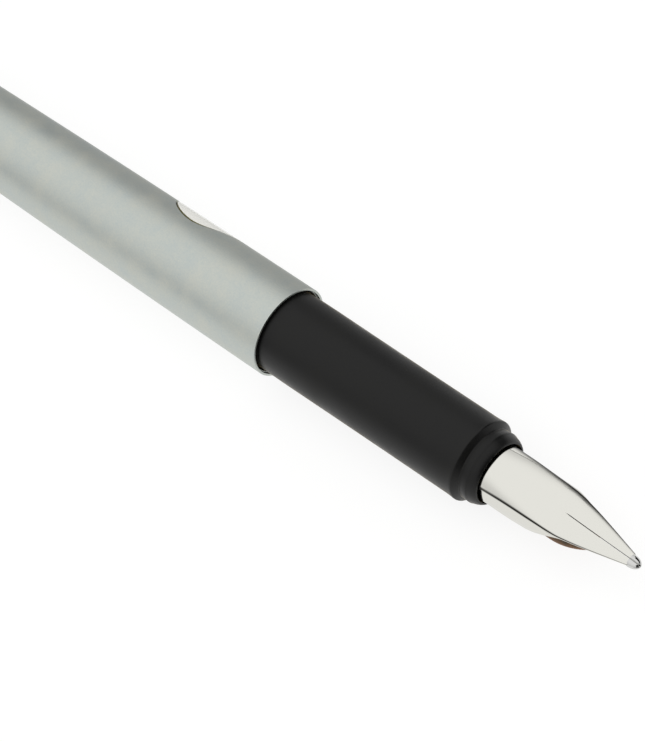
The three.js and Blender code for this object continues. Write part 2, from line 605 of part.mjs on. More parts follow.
function capFinial() {
  const end = CAP_REAR - FINIAL_HEAD;
  const spigotRadius = CAP_BORE - SLIDING_GAP;
  const hole = SCREW_RADIUS + SLIDING_GAP;
  const sink = SCREW_HEAD_RADIUS + SLIDING_GAP;
  const sinkFloor = end + SCREW_HEAD + SLIDING_GAP;
  const body = turned([
    [SPIGOT_FRONT, hole], [SPIGOT_FRONT, spigotRadius], [CAP_REAR, spigotRadius],
    [CAP_REAR, BARREL_FRONT_RADIUS], [end + FINIAL_CHAMFER, BARREL_FRONT_RADIUS],
    [end, BARREL_FRONT_RADIUS - FINIAL_CHAMFER], [end, sink], [sinkFloor, sink],
    [sinkFloor, hole],
  ], SHELL_SIDES, true);
  return body.subtract(clipSlot());
}

function capScrew() {
  const end = CAP_REAR - FINIAL_HEAD;
  const point = INNER_CAP_REAR + INNER_CAP_FLOOR;
  return turned([
    [end, 0], [end, SCREW_HEAD_RADIUS], [end + SCREW_HEAD, SCREW_HEAD_RADIUS],
    [end + SCREW_HEAD, SCREW_RADIUS], [point, SCREW_RADIUS], [point, 0],
  ], SMALL_SIDES, true);
}

/** Sprung strip bent from sheet: root through the cap, straight arm, foot and lifted toe. */
function clip() {
  const half = CLIP_THICKNESS / 2;
  const armOuter = CLIP_REACH;
  const armInner = CLIP_REACH - CLIP_THICKNESS;
  const toe = TAB_MIDDLE + CLIP_LENGTH;
  const footHeight = BARREL_FRONT_RADIUS + CLIP_FOOT_GAP;
  const footMiddle = toe - (CLIP_FOOT_REAR + CLIP_FOOT_FRONT) / 2;
  const bendPull = toe - CLIP_BEND_PULL + CLIP_THICKNESS;
  const bendEnd = toe - CLIP_BEND + CLIP_THICKNESS;
  const shape = new THREE.Shape();
  shape.moveTo(TAB_MIDDLE - half, CLIP_TAB_RADIUS);
  shape.lineTo(TAB_MIDDLE + half, CLIP_TAB_RADIUS);
  shape.lineTo(TAB_MIDDLE + half, armInner);
  shape.lineTo(toe - CLIP_BEND, armInner);
  shape.quadraticCurveTo(toe - CLIP_BEND_PULL, armInner, toe - CLIP_FOOT_REAR, footHeight);
  shape.lineTo(toe - CLIP_FOOT_FRONT, footHeight);
  shape.lineTo(toe, armInner);
  shape.lineTo(toe, armInner + half);
  shape.lineTo(footMiddle, footHeight + CLIP_THICKNESS);
  shape.quadraticCurveTo(bendPull, armOuter, bendEnd, armOuter);
  shape.lineTo(TAB_MIDDLE + half, armOuter);
  shape.quadraticCurveTo(TAB_MIDDLE - half, armOuter, TAB_MIDDLE - half, armInner);
  const geometry = new THREE.ExtrudeGeometry(shape, {
    depth: CLIP_WIDTH, bevelEnabled: false, curveSegments: CURVE_STEPS,
  });
  geometry.translate(0, 0, -CLIP_WIDTH / 2);
  geometry.rotateX(Math.PI / 2);
  return solidFrom(toClipSide(geometry));
}

// ---------------------------------------------------------------- assembly
function addPiece(parent, name, solid, finish) {
  const mesh = new THREE.Mesh(geometryFrom(solid), finish);
  mesh.name = name;
  parent.add(mesh);
}

const pen = new THREE.Group();

const barrel = new THREE.Group();
addPiece(barrel, 'barrel_tube', barrelTube(), ANODISED);
addPiece(barrel, 'ink_window', inkWindow(), CLEAR_WINDOW);
addPiece(barrel, 'barrel_thread_insert', barrelThreadInsert(), BRASS);
addPiece(barrel, 'barrel_end_plug', barrelEndPlug(), ANODISED);
pen.add(barrel);

const section = new THREE.Group();
addPiece(section, 'grip_section', gripSection(), BLACK_PLASTIC);
addPiece(section, 'section_thread_collar', sectionThreadCollar(), BRASS);
addPiece(section, 'joint_seal', jointSeal(), RUBBER);
addPiece(section, 'ink_nipple', inkNipple(), BLACK_PLASTIC);
addPiece(section, 'nib', nib(), POLISHED_STEEL);
addPiece(section, 'nib_tip', nibTip(), TIPPING);
addPiece(section, 'feed', feed(), FEED_PLASTIC);
pen.add(section);

const converter = new THREE.Group();
addPiece(converter, 'converter_tube', converterTube(), CLEAR_TUBE);
addPiece(converter, 'converter_mouth', converterMouth(), BLACK_PLASTIC);
addPiece(converter, 'converter_ring', converterRing(), BRIGHT_METAL);
addPiece(converter, 'piston_nut', pistonNut(), WHITE_PLASTIC);
addPiece(converter, 'piston_seal', pistonSeal(), RUBBER);
addPiece(converter, 'piston_rod', pistonRod(), WHITE_PLASTIC);
addPiece(converter, 'filler_knob', fillerKnob(), BLACK_PLASTIC);
pen.add(converter);

const cap = new THREE.Group();
addPiece(cap, 'cap_tube', capTube(), ANODISED);
addPiece(cap, 'inner_cap', innerCap(), WHITE_PLASTIC);
addPiece(cap, 'cap_finial', capFinial(), ANODISED);
addPiece(cap, 'cap_screw', capScrew(), BRIGHT_METAL);
addPiece(cap, 'clip', clip(), BRIGHT_METAL);
pen.add(cap);

// The row's origin is on the ground under the middle of the pen.
const bounds = new THREE.Box3().setFromObject(pen, true);
const middle = bounds.getCenter(new THREE.Vector3());
pen.position.set(-middle.x, -middle.y, -bounds.min.z);

export default pen;
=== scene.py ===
import json
import math

import bmesh
import bpy
from mathutils import Matrix, Vector


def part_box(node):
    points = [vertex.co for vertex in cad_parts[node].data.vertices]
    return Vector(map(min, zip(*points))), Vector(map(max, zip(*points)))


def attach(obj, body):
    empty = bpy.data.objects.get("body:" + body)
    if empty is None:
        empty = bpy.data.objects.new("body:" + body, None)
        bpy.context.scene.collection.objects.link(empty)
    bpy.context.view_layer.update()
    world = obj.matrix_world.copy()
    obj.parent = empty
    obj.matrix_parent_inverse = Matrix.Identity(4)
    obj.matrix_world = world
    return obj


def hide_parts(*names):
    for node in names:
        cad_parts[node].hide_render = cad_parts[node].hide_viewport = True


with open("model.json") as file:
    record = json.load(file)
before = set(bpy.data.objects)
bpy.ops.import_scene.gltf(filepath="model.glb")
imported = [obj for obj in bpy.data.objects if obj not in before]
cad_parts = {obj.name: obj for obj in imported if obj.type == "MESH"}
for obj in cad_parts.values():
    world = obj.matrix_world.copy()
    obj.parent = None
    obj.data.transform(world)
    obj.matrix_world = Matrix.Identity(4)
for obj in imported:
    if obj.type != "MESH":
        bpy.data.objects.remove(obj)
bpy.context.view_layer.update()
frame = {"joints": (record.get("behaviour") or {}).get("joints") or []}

# ---------------------------------------------------------------- grip section
# The part that the fingers hold, moulded in black ABS. Its rear end runs into the barrel's mouth;
# its front end carries a bead, a step and the narrow ring that the cap snaps over.
MM = 0.001
grip_low, grip_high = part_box("grip_section")
AXIS_Y = (grip_low.y + grip_high.y) / 2
AXIS_Z = (grip_low.z + grip_high.z) / 2
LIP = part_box("barrel_tube")[1].x    # the barrel's front lip, from which lengths run to the nib


def span(node):
    """Where a node starts and ends along the pen, and its radius, in mm."""
    low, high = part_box(node)
    return (low.x - LIP) / MM, (high.x - LIP) / MM, (high.y - low.y) / 2 / MM


def place(x, radius, turn=0.0):
    """A point x mm ahead of the lip, turned from the top of the pen towards the window's side."""
    across = radius * math.sin(turn) * MM
    above = radius * math.cos(turn) * MM
    return Vector((LIP + x * MM, AXIS_Y + across, AXIS_Z + above))


def even(start, end, steps):
    """Numbers from start to end, evenly apart."""
    return [start + (end - start) * step / steps for step in range(steps + 1)]


def bend(start, pull, end, steps=8):
    """Points along a curve that leaves start and reaches end, both aimed at pull."""
    start, pull, end = Vector(start), Vector(pull), Vector(end)
    return [(1 - s) ** 2 * start + 2 * s * (1 - s) * pull + s * s * end for s in even(0, 1, steps)]


FLAT_CORNER = math.radians(160)     # a corner flatter than this stays as it is


def soften(outline, edge, closed):
    """The outline with its corners rounded, and a point beside each rounding to hold the shading."""
    soft = []
    for i, here in enumerate(outline):
        here = Vector(here)
        back = Vector(outline[i - 1]) - here
        on = Vector(outline[(i + 1) % len(outline)]) - here
        at_end = not closed and i in (0, len(outline) - 1)
        if at_end or back.angle(on) > FLAT_CORNER:
            soft.append(here)
            continue
        size = min(edge, 0.3 * back.length, 0.3 * on.length)
        back.normalize()
        on.normalize()
        soft.append(here + 1.5 * size * back)
        soft += bend(here + size * back, here, here + size * on, 4)
        soft.append(here + 1.5 * size * on)
    return soft


def settle(mesh, sharp=35):
    """Joins doubled points, turns faces outwards and shades smooth, with sharp folds kept."""
    form = bmesh.new()
    form.from_mesh(mesh)
    bmesh.ops.remove_doubles(form, verts=form.verts, dist=0.0001 * MM)
    bmesh.ops.recalc_face_normals(form, faces=form.faces)
    for face in form.faces:
        face.smooth = True
    for edge in form.edges:
        edge.smooth = edge.calc_face_angle(0) < math.radians(sharp)
    form.to_mesh(mesh)
    form.free()


def make_piece(name, points, faces, material):
    mesh = bpy.data.meshes.new(name)
    mesh.from_pydata(points, [], faces)
    mesh.materials.append(material)
    piece = bpy.data.objects.new(name, mesh)
    bpy.context.scene.collection.objects.link(piece)
    return piece


def join_rings(rings, closed=False):
    """Faces between neighbouring rings of point numbers; a ring of one point is a pole."""
    faces = []
    neighbours = list(zip(rings, rings[1:])) + ([(rings[-1], rings[0])] if closed else [])
    for one, other in neighbours:
        sides = max(len(one), len(other))
        for i in range(sides):
            j = (i + 1) % sides
            corners = [one[i % len(one)], one[j % len(one)]]
            corners += [other[j % len(other)], other[i % len(other)]]
            faces.append(list(dict.fromkeys(corners)))
    return faces


def skin_piece(name, layers, material, closed=False, capped=False):
    """A skin over rings of points, each joined to the next, with flat ends if capped."""
    points = []
    rings = []
    for layer in layers:
        rings.append(range(len(points), len(points) + len(layer)))
        points += layer
    caps = [list(rings[0]), list(rings[-1])] if capped else []
    return make_piece(name, points, join_rings(rings, closed) + caps, material)


def turn_piece(name, outline, material, edge=0.1, sides=128):
    """Turns an outline of (x, radius) in mm about the pen's axis, as on a lathe."""
    bored = outline[0][1] > 0
    layers = []
    for x, radius in soften(outline, edge, bored):
        count = sides if radius > 0 else 1
        layers.append([place(x, radius, (i + 0.5) * math.tau / sides) for i in range(count)])
    piece = skin_piece(name, layers, material, closed=bored)
    settle(piece.data)
    return piece


def linear(code):
    """An sRGB hex colour as the linear colour that a shader takes."""
    shares = [int(code[i:i + 2], 16) / 255 for i in (1, 3, 5)]
    return [s / 12.92 if s <= 0.04045 else ((s + 0.055) / 1.055) ** 2.4 for s in shares] + [1.0]


def connect(node, links):
    """Gives a node's inputs, by name or number, values or what other nodes put out."""
    for socket, value in links.items():
        if isinstance(value, bpy.types.Node):
            value = value.outputs[0]
        if isinstance(value, bpy.types.NodeSocket):
            node.id_data.links.new(value, node.inputs[socket])
        else:
            node.inputs[socket].default_value = value


def add_node(tree, kind, links=None, **settings):
    """Adds a node with its settings and the links or values of its inputs."""
    node = tree.nodes.new(kind)
    for name, value in settings.items():
        setattr(node, name, value)
    connect(node, links or {})
    return node


def start_material(name, color, roughness, metallic=0.0):
    """A new material with one plain surface; returns it, its tree, surface and place on the piece."""
    material = bpy.data.materials.new(name)
    material.use_nodes = True
    tree = material.node_tree
    surface = tree.nodes["Principled BSDF"]
    connect(surface, {"Base Color": linear(color), "Roughness": roughness, "Metallic": metallic})
    return material, tree, surface, add_node(tree, "ShaderNodeTexCoord").outputs["Object"]


# ABS from a finely etched mould: black, with a soft sheen that varies a little where fingers have
# polished it, and a dusty glow along its edges. The etching is about 0.03 mm; it is drawn at
# 0.12 mm so that it shows.
satin_abs, tree, surface, where = start_material("ABS, black, etched mould", "#121212", 0.42)
etching = add_node(tree, "ShaderNodeTexNoise", {"Vector": where, "Scale": 1 / (0.12 * MM), "Detail": 2.0})
handling = add_node(tree, "ShaderNodeTexNoise", {"Vector": where, "Scale": 1 / (5 * MM), "Detail": 3.0})
sheen = add_node(tree, "ShaderNodeMapRange", {"Value": handling, 1: 0.3, 2: 0.7, 3: 0.32, 4: 0.46})
tone = add_node(tree, "ShaderNodeMix", {0: handling, 6: linear("#08080a"), 7: linear("#12120f")},
                data_type="RGBA")
relief = add_node(tree, "ShaderNodeBump", {"Height": etching, "Strength": 0.35, "Distance": 0.012 * MM})
connect(surface, {
    "Base Color": tone.outputs[2], "Roughness": sheen, "Normal": relief, "IOR": 1.5,
    "Specular IOR Level": 0.27, "Sheen Weight": 0.46, "Sheen Roughness": 0.18,
    "Sheen Tint": linear("#dcc594"),
})

grip_rear, grip_front, grip_radius = span("grip_section")
collar_rear, collar_front, collar_radius = span("section_thread_collar")
nipple_rear, nipple_front, nipple_radius = span("ink_nipple")
feed_rear, feed_front, feed_radius = span("feed")
nib_rear, nib_front, nib_radius = span("nib")
GRIP_GAP = 0.05
bead = grip_front - 3.5
shoulder = grip_front - 3.2
snap_rear = grip_front - 2.6
snap_front = grip_front - 1.55
nose = grip_front - 0.45        # the end face that the nib comes out of
snap_radius = grip_radius - 0.65
mouth_width = nib_radius + 0.05
grip_outline = [
    (grip_rear, collar_radius + GRIP_GAP), (grip_rear, grip_radius - 0.02),
    *bend((4, grip_radius), (16, grip_radius - 0.08), (bead - 2.1, grip_radius - 0.085)),
    *bend((bead - 1.7, grip_radius - 0.09), (bead - 0.5, grip_radius - 0.1), (bead, grip_radius - 0.03)),
    *bend((shoulder - 0.1, grip_radius - 0.03), (shoulder, grip_radius - 0.04),
          (shoulder + 0.08, grip_radius - 0.14)),
    *bend((snap_rear - 0.1, snap_radius + 0.02), (snap_rear, snap_radius - 0.08),
          (snap_rear + 0.12, snap_radius - 0.04)),
    (snap_front - 0.1, snap_radius), (snap_front, snap_radius - 0.02),
    *bend((snap_front + 0.12, snap_radius - 0.08), (nose - 0.3, mouth_width + 0.5),
          (nose, mouth_width + 0.22)),
    (nose + 0.05, mouth_width), (nib_rear - 0.3, mouth_width), (nib_rear - 0.3, feed_radius + 0.1),
    (nipple_front + 0.05, feed_radius + 0.1), (nipple_front + 0.05, nipple_radius + GRIP_GAP),
    (collar_front + GRIP_GAP, nipple_radius + GRIP_GAP),
    (collar_front + GRIP_GAP, collar_radius + GRIP_GAP),
]
grip = turn_piece("grip", grip_outline, satin_abs, edge=0.05, sides=160)
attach(grip, "section")
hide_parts("grip_section")

# ---------------------------------------------------------------- thread collar on the section
# A turned brass sleeve pressed into the grip's rear end, with the screw thread that holds the
# barrel on. Machining leaves it bright, with fine rings round it.


def start_tree(name, sizes):
    """A geometry tree whose named inputs are the sizes, each a socket type."""
    tree = bpy.data.node_groups.new(name, "GeometryNodeTree")
    tree.interface.new_socket("Geometry", in_out="INPUT", socket_type="NodeSocketGeometry")
    tree.interface.new_socket("Geometry", in_out="OUTPUT", socket_type="NodeSocketGeometry")
    for label, kind in sizes.items():
        tree.interface.new_socket(label, in_out="INPUT", socket_type="NodeSocket" + kind)
    return tree, add_node(tree, "NodeGroupInput").outputs


def end_tree(tree, geometry, material):
    """Ends a geometry tree in plain mesh with its material."""
    plain = add_node(tree, "GeometryNodeRealizeInstances", {0: geometry})
    finish = add_node(tree, "GeometryNodeSetMaterial", {"Geometry": plain, "Material": material})
    add_node(tree, "NodeGroupOutput", {0: finish})


def keep_result(piece, modifier):
    """Makes what a modifier shapes the piece's own mesh, and removes the modifier."""
    scene_now = bpy.context.evaluated_depsgraph_get()
    mesh = bpy.data.meshes.new_from_object(piece.evaluated_get(scene_now), depsgraph=scene_now)
    piece.modifiers.remove(modifier)
    piece.data = mesh
    settle(mesh)


def run_tree(piece, tree, sizes):
    """Runs a geometry tree on a piece and keeps the result as the piece's own mesh."""
    modifier = piece.modifiers.new(tree.name, "NODES")
    modifier.node_group = tree
    for item in tree.interface.items_tree:
        if item.in_out == "INPUT" and item.name in sizes:
            modifier[item.identifier] = sizes[item.name]
    keep_result(piece, modifier)


# Brass turned on a lathe: warm yellow, bright, with rings 0.15 mm apart that spread the light.
turned_brass, tree, surface, where = start_material("Brass, turned", "#c8a55a", 0.28, 1.0)
marks = add_node(tree, "ShaderNodeTexWave", {"Vector": where, "Scale": 0.05 / (0.15 * MM), "Distortion": 0.4},
                 bands_direction="X").outputs["Fac"]
relief = add_node(tree, "ShaderNodeBump", {"Height": marks, "Strength": 0.15, "Distance": 0.01 * MM})
dullness = add_node(tree, "ShaderNodeTexNoise", {"Vector": where, "Scale": 1 / (1.5 * MM), "Detail": 3.0})
sheen = add_node(tree, "ShaderNodeMapRange", {"Value": dullness, 3: 0.2, 4: 0.38})
connect(surface, {"Roughness": sheen, "Normal": relief})

# The thread rises from a plain sleeve by a rule: its height depends on the way along and round.
THREAD_RUN_OUT = 0.9        # length over which the thread fades at each end
tree, given = start_tree("screw thread", {
    "Pitch": "Float", "Height": "Float", "Length": "Float", "Root Radius": "Float",
    "Front": "Vector", "Material": "Material",
})
spot = add_node(tree, "GeometryNodeInputPosition")
away = add_node(tree, "ShaderNodeVectorMath", {0: spot, 1: given["Front"]}, operation="SUBTRACT")
parts = add_node(tree, "ShaderNodeSeparateXYZ", {0: away}).outputs
turn = add_node(tree, "ShaderNodeMath", {0: parts["Y"], 1: parts["Z"]}, operation="ARCTAN2")
turns = add_node(tree, "ShaderNodeMath", {0: turn, 1: math.tau}, operation="DIVIDE")
pitches = add_node(tree, "ShaderNodeMath", {0: parts["X"], 1: given["Pitch"]}, operation="DIVIDE")
phase = add_node(tree, "ShaderNodeMath", {0: pitches, 1: turns}, operation="ADD")
swing = add_node(tree, "ShaderNodeMath", {0: phase, 1: 0.5}, operation="PINGPONG")
crest = add_node(tree, "ShaderNodeMapRange", {"Value": swing, 1: 0.18, 2: 0.36})
from_rear = add_node(tree, "ShaderNodeMath", {0: parts["X"], 1: given["Length"]}, operation="ADD")
run_in = add_node(tree, "ShaderNodeMapRange", {"Value": from_rear, 1: 0.0, 2: THREAD_RUN_OUT * MM})
run_out = add_node(tree, "ShaderNodeMapRange", {"Value": parts["X"], 1: 0.0, 2: -THREAD_RUN_OUT * MM})
ends = add_node(tree, "ShaderNodeMath", {0: run_in, 1: run_out}, operation="MULTIPLY")
lift = add_node(tree, "ShaderNodeMath", {0: crest, 1: ends}, operation="MULTIPLY")
rise = add_node(tree, "ShaderNodeMath", {0: lift, 1: given["Height"]}, operation="MULTIPLY")
spoke = add_node(tree, "ShaderNodeVectorMath", {0: away, 1: (0, 1, 1)}, operation="MULTIPLY")
radius = add_node(tree, "ShaderNodeVectorMath", {0: spoke}, operation="LENGTH").outputs["Value"]
on_root = add_node(tree, "ShaderNodeMath", {0: radius, 1: given["Root Radius"], 2: 0.02 * MM},
                   operation="COMPARE")
outwards = add_node(tree, "ShaderNodeVectorMath", {0: spoke}, operation="NORMALIZE")
push = add_node(tree, "ShaderNodeVectorMath", {0: outwards, "Scale": rise}, operation="SCALE")
moved = add_node(tree, "GeometryNodeSetPosition", {
    "Geometry": given["Geometry"], "Selection": on_root, "Offset": push})
end_tree(tree, moved, given["Material"])
thread_tree = tree      # the bush in the barrel is threaded by the same rule

THREAD_PITCH = 1.8
THREAD_HEIGHT = 0.3
THREAD_GAP = 0.05
THREAD_FINENESS = 12        # stations along each pitch
INSERT_WALL = 0.39          # of the brass bush that the barrel carries
COLLAR_PLAY = 0.25          # round the converter
insert_rear, insert_front, insert_radius = span("barrel_thread_insert")
converter_radius = span("converter_tube")[2]
collar_bore = converter_radius + COLLAR_PLAY
male_root = insert_radius - INSERT_WALL - 2 * THREAD_HEIGHT - THREAD_GAP
thread_front = insert_front - 0.9
thread_rear = insert_rear + 0.4


def stations(rear, front, radius):
    """Points close together along a stretch, for a thread to rise from."""
    count = round((front - rear) / THREAD_PITCH * THREAD_FINENESS)
    return [(x, radius) for x in even(rear, front, count)]


collar = turn_piece("thread_collar", [
    (collar_rear, collar_bore), (collar_front, collar_bore), (collar_front, collar_radius),
    (grip_rear, collar_radius), (grip_rear, male_root),
    *reversed(stations(thread_rear, thread_front, male_root)), (collar_rear, male_root),
], turned_brass, edge=0.15, sides=96)
thread_sizes = {
    "Pitch": THREAD_PITCH * MM, "Height": THREAD_HEIGHT * MM, "Length": (thread_front - thread_rear) * MM,
    "Root Radius": male_root * MM, "Front": tuple(place(thread_front, 0)), "Material": turned_brass,
}
run_tree(collar, thread_tree, thread_sizes)
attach(collar, "section")
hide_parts("section_thread_collar")

# ---------------------------------------------------------------- joint seal
# A rubber ring squeezed between the section and the barrel's insert. It shows as the dark line in
# the barrel's mouth and keeps the two from working loose.

# Nitrile rubber as moulded: black and dull, with no clear highlight.
rubber, tree, surface, where = start_material("Nitrile rubber, moulded", "#181817", 0.75)
bloom = add_node(tree, "ShaderNodeTexNoise", {"Vector": where, "Scale": 1 / (0.6 * MM), "Detail": 3.0})
tone = add_node(tree, "ShaderNodeMix", {0: bloom, 6: linear("#141413"), 7: linear("#20201e")},
                data_type="RGBA")
connect(surface, {"Base Color": tone.outputs[2], "IOR": 1.5})

seal_rear, seal_front, seal_radius = span("joint_seal")
seal_middle = (seal_rear + seal_front) / 2
seal_half = (seal_front - seal_rear) / 2
SKIRT_FRONT = -0.25             # the ring's thin skirt fills the joint almost to the barrel's lip
SKIRT_WALL = 0.14
seal_round = [
    (seal_middle + seal_half * math.cos(i * math.tau / 16),
     seal_radius - seal_half + seal_half * math.sin(i * math.tau / 16)) for i in range(3, 16)
]
seal_round += [(SKIRT_FRONT, seal_radius - 0.02 - SKIRT_WALL), (SKIRT_FRONT, seal_radius - 0.02)]
seal = turn_piece("seal_ring", seal_round, rubber, edge=0.0, sides=96)
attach(seal, "section")
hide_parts("joint_seal")

# ---------------------------------------------------------------- ink nipple
# The spigot inside the section, moulded in black ABS, that the converter is pushed on. Ink runs
# through its bore to the feed.
NIPPLE_BORE = 0.8
NIPPLE_FLANGE = 2.0
PLUG_DEPTH = 1.3            # walls of the converter's tube and plug, which the nipple fits inside
nipple_stem = converter_radius - PLUG_DEPTH
nipple = turn_piece("nipple", [
    (nipple_rear, NIPPLE_BORE), (nipple_front, NIPPLE_BORE), (nipple_front, nipple_radius),
    (nipple_front - NIPPLE_FLANGE, nipple_radius), (nipple_front - NIPPLE_FLANGE, nipple_stem),
    (nipple_rear + 1.0, nipple_stem), (nipple_rear, nipple_stem - 0.4),
], satin_abs, sides=64)
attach(nipple, "section")
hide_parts("ink_nipple")

# ---------------------------------------------------------------- nib
# Stamped from stainless sheet 0.3 mm thick and folded: a curved top between two creases, a side
# wall below each crease at the rear, and two tines parted by a slit. It is polished all over.
NIB_THICKNESS = 0.3
CREASE_AT = 0.75        # share of the way from the crest to a wall's edge
CREASE_ROUND = 0.03     # share of that way over which a crease is rounded
SLIT_HALF_WIDTH = 0.05
SLIT_TAPER = 0.5        # length over which the slit opens from nothing
slit_start = grip_front + 9.7
nib_crease_width = [(0, 3.12), (5, 2.99), (8, 2.9), (10, 2.78), (11.5, 2.52), (13, 2.2), (18.7, 0.79)]
nib_crease_height = [(0, 1.74), (3, 1.95), (7, 1.74), (9, 1.5), (11, 1.22), (14, 1.03), (18.7, 0.74)]
nib_crest_height = [(0, 3.4), (5, 2.75), (9.7, 1.85), (14, 1.3), (18.7, 0.84)]
nib_crest_spread = [(0, 0.7), (4, 0.5), (18.7, 0.5)]  # share of the top's curve that is spread out
nib_wall_bulge = [(0, 0.4), (3.5, 0.45), (7, 0.45), (8.5, 0.4), (10.2, 0.12), (11, 0.02), (18.7, 0.02)]
nib_wall_height = [(0, -0.9), (3.5, -1.1), (6, -0.9), (7.2, -0.4), (8.3, 0.25), (9.4, 0.8),
                   (10.8, 1.08), (18.7, 0.6)]


def smooth_value(x, line):
    """The value at x on a smooth curve through (x, value) points, level past both ends."""
    if x <= line[0][0]:
        return line[0][1]
    if x >= line[-1][0]:
        return line[-1][1]
    slopes = [(b[1] - a[1]) / (b[0] - a[0]) for a, b in zip(line, line[1:])]
    leans = [slopes[0]]
    for before, after in zip(slopes, slopes[1:]):
        leans.append(0 if before * after <= 0 else 2 * before * after / (before + after))
    leans.append(slopes[-1])
    i = max(k for k in range(len(line) - 1) if line[k][0] <= x)
    (x0, v0), (x1, v1) = line[i], line[i + 1]
    run = x1 - x0
    s = (x - x0) / run
    start = (1 + 2 * s) * (1 - s) ** 2 * v0 + s * (1 - s) ** 2 * run * leans[i]
    return start + s * s * (3 - 2 * s) * v1 + s * s * (s - 1) * run * leans[i + 1]


def nib_line(x):
    """The nib's outer outline at x, as a function of the share of the way to a wall's edge."""
    crease_width = smooth_value(x, nib_crease_width)
    crease_height = smooth_value(x, nib_crease_height)
    crest_height = smooth_value(x, nib_crest_height)
    crest_spread = smooth_value(x, nib_crest_spread)
    wall_bulge = smooth_value(x, nib_wall_bulge)
    wall_drop = max(0.08, crease_height - smooth_value(x, nib_wall_height))

    def at(share):
        if share <= CREASE_AT:
            part = share / CREASE_AT
            lift = 1 - crest_spread * part ** 2 - (1 - crest_spread) * part ** 5
            return Vector((part * crease_width, crease_height + lift * (crest_height - crease_height)))
        down = (share - CREASE_AT) / (1 - CREASE_AT)
        bulge = math.sin(min(1, down * 1.25) * math.pi / 2)
        return Vector((crease_width + bulge * wall_bulge, crease_height - down * wall_drop))

    def rounded(share):
        nearby = [at(share + CREASE_ROUND * k / 4) for k in range(-4, 5)]
        return sum(nearby, Vector((0, 0))) / len(nearby)

    return rounded


nib_shares = even(CREASE_ROUND, CREASE_AT - 2 * CREASE_ROUND, 22)
nib_shares += even(CREASE_AT - 1.5 * CREASE_ROUND, CREASE_AT + 1.5 * CREASE_ROUND, 18)
nib_shares += even(CREASE_AT, 1, 10)[3:-1]


def nib_section(x, inset):
    """One half of the nib's outline at x, inset by a distance, from the crest to a wall's edge."""
    line = nib_line(x)
    outline = [line(CREASE_ROUND) - Vector((line(CREASE_ROUND).x, 0)) - Vector((0, inset))]
    for share in nib_shares:
        along = (line(share + 0.01) - line(share - 0.01)).normalized()
        outline.append(line(share) + inset * Vector((along.y, -along.x)))
    return outline


# Stainless steel, rolled, stamped and polished: nearly white, with hair-fine polishing lines
# along the nib and a faint waviness from the folding, which bends what it mirrors. The creases
# are painted black and rougher: a painted shade for the dark lines they mirror, wider at the far one.
polished_steel, tree, surface, where = start_material("Stainless steel, polished", "#d9d9d4", 0.06, 1.0)
drawn_out = add_node(tree, "ShaderNodeMapping", {"Vector": where, "Scale": (0.06, 1.0, 1.0)})
hairlines = add_node(tree, "ShaderNodeTexNoise", {
    "Vector": drawn_out, "Scale": 1 / (0.1 * MM), "Detail": 2.0})
waves = add_node(tree, "ShaderNodeTexNoise", {"Vector": where, "Scale": 1 / (3.5 * MM), "Detail": 1.0})
sheen = add_node(tree, "ShaderNodeMapRange", {"Value": hairlines, 3: 0.04, 4: 0.13})
wavy = add_node(tree, "ShaderNodeBump", {"Height": waves, "Strength": 0.4, "Distance": 0.03 * MM})
lined = add_node(tree, "ShaderNodeBump", {
    "Height": hairlines, "Strength": 0.06, "Distance": 0.004 * MM, "Normal": wavy})
# Painted shade: the crease attribute darkens the creases to near black and makes them rougher.
crease_shade = add_node(tree, "ShaderNodeAttribute", attribute_name="crease").outputs["Fac"]
tone = add_node(tree, "ShaderNodeMix", {0: crease_shade, 6: linear("#e3e2db"), 7: linear("#16140f")},
                data_type="RGBA")
crease_shade_roughness = add_node(tree, "ShaderNodeMath", {0: crease_shade, 1: 0.3, 2: sheen}, operation="MULTIPLY_ADD")
connect(surface, {"Base Color": tone.outputs[2], "Roughness": crease_shade_roughness, "Normal": lined})

# The same steel where the slit was sawn: rough, and painted dark: a painted shade for the narrow slit.
cut_steel, tree, surface, where = start_material("Stainless steel, sawn, painted slit shade", "#17171c", 0.5, 0.4)
marks = add_node(tree, "ShaderNodeTexNoise", {"Vector": where, "Scale": 1 / (0.1 * MM), "Detail": 2.0})
tone = add_node(tree, "ShaderNodeMix", {0: marks, 6: linear("#0c0c12"), 7: linear("#22232c")},
                data_type="RGBA")
connect(surface, {"Base Color": tone.outputs[2], "IOR": 1.5})

NIB_STATIONS = 120
NEAR_CREASE_SHADE = 0.14                # how far the painted crease shade spreads from the crease on each side
FAR_CREASE_SHADE = 0.34
TOP_WIDTH = 3.9                 # way from crest to crease for a share of 1, on the top and on a wall
WALL_WIDTH = 9.0
# The painted crease shade's strength along the nib, and how it fades away from each crease.
crease_shade_along = [(0, 0.92), (3, 1.0), (11, 1.0), (14, 0.8), (18.7, 0.75)]
crease_shade_round = {1: [0.0], -1: [0.0]}
for share in nib_shares:
    from_crease = (share - CREASE_AT) * (TOP_WIDTH if share < CREASE_AT else WALL_WIDTH)
    crease_shade_round[1].append(math.exp(-(from_crease / FAR_CREASE_SHADE) ** 2))
    crease_shade_round[-1].append(math.exp(-(from_crease / NEAR_CREASE_SHADE) ** 4))
crease_shade_values = []
points = []
half_rings = {1: [], -1: []}
nib_places = even(nib_rear, nib_front, NIB_STATIONS)
for x in nib_places:
    ahead = x - grip_front
    outer = nib_section(ahead, 0)
    inner = nib_section(ahead, NIB_THICKNESS)
    parting = SLIT_HALF_WIDTH * min(1, max(0, x - slit_start) / SLIT_TAPER)
    strength = smooth_value(ahead, crease_shade_along)
    for side in (1, -1):
        crease_shade_values += [strength * value for value in crease_shade_round[side]] + [0.0] * len(inner)
        half_rings[side].append(range(len(points), len(points) + 2 * len(outer)))
        for spot in outer + inner[::-1]:
            width = max(spot.x, parting)
            points.append(place(x, 0) + Vector((0, side * width * MM, spot.y * MM)))
faces = []
face_materials = []
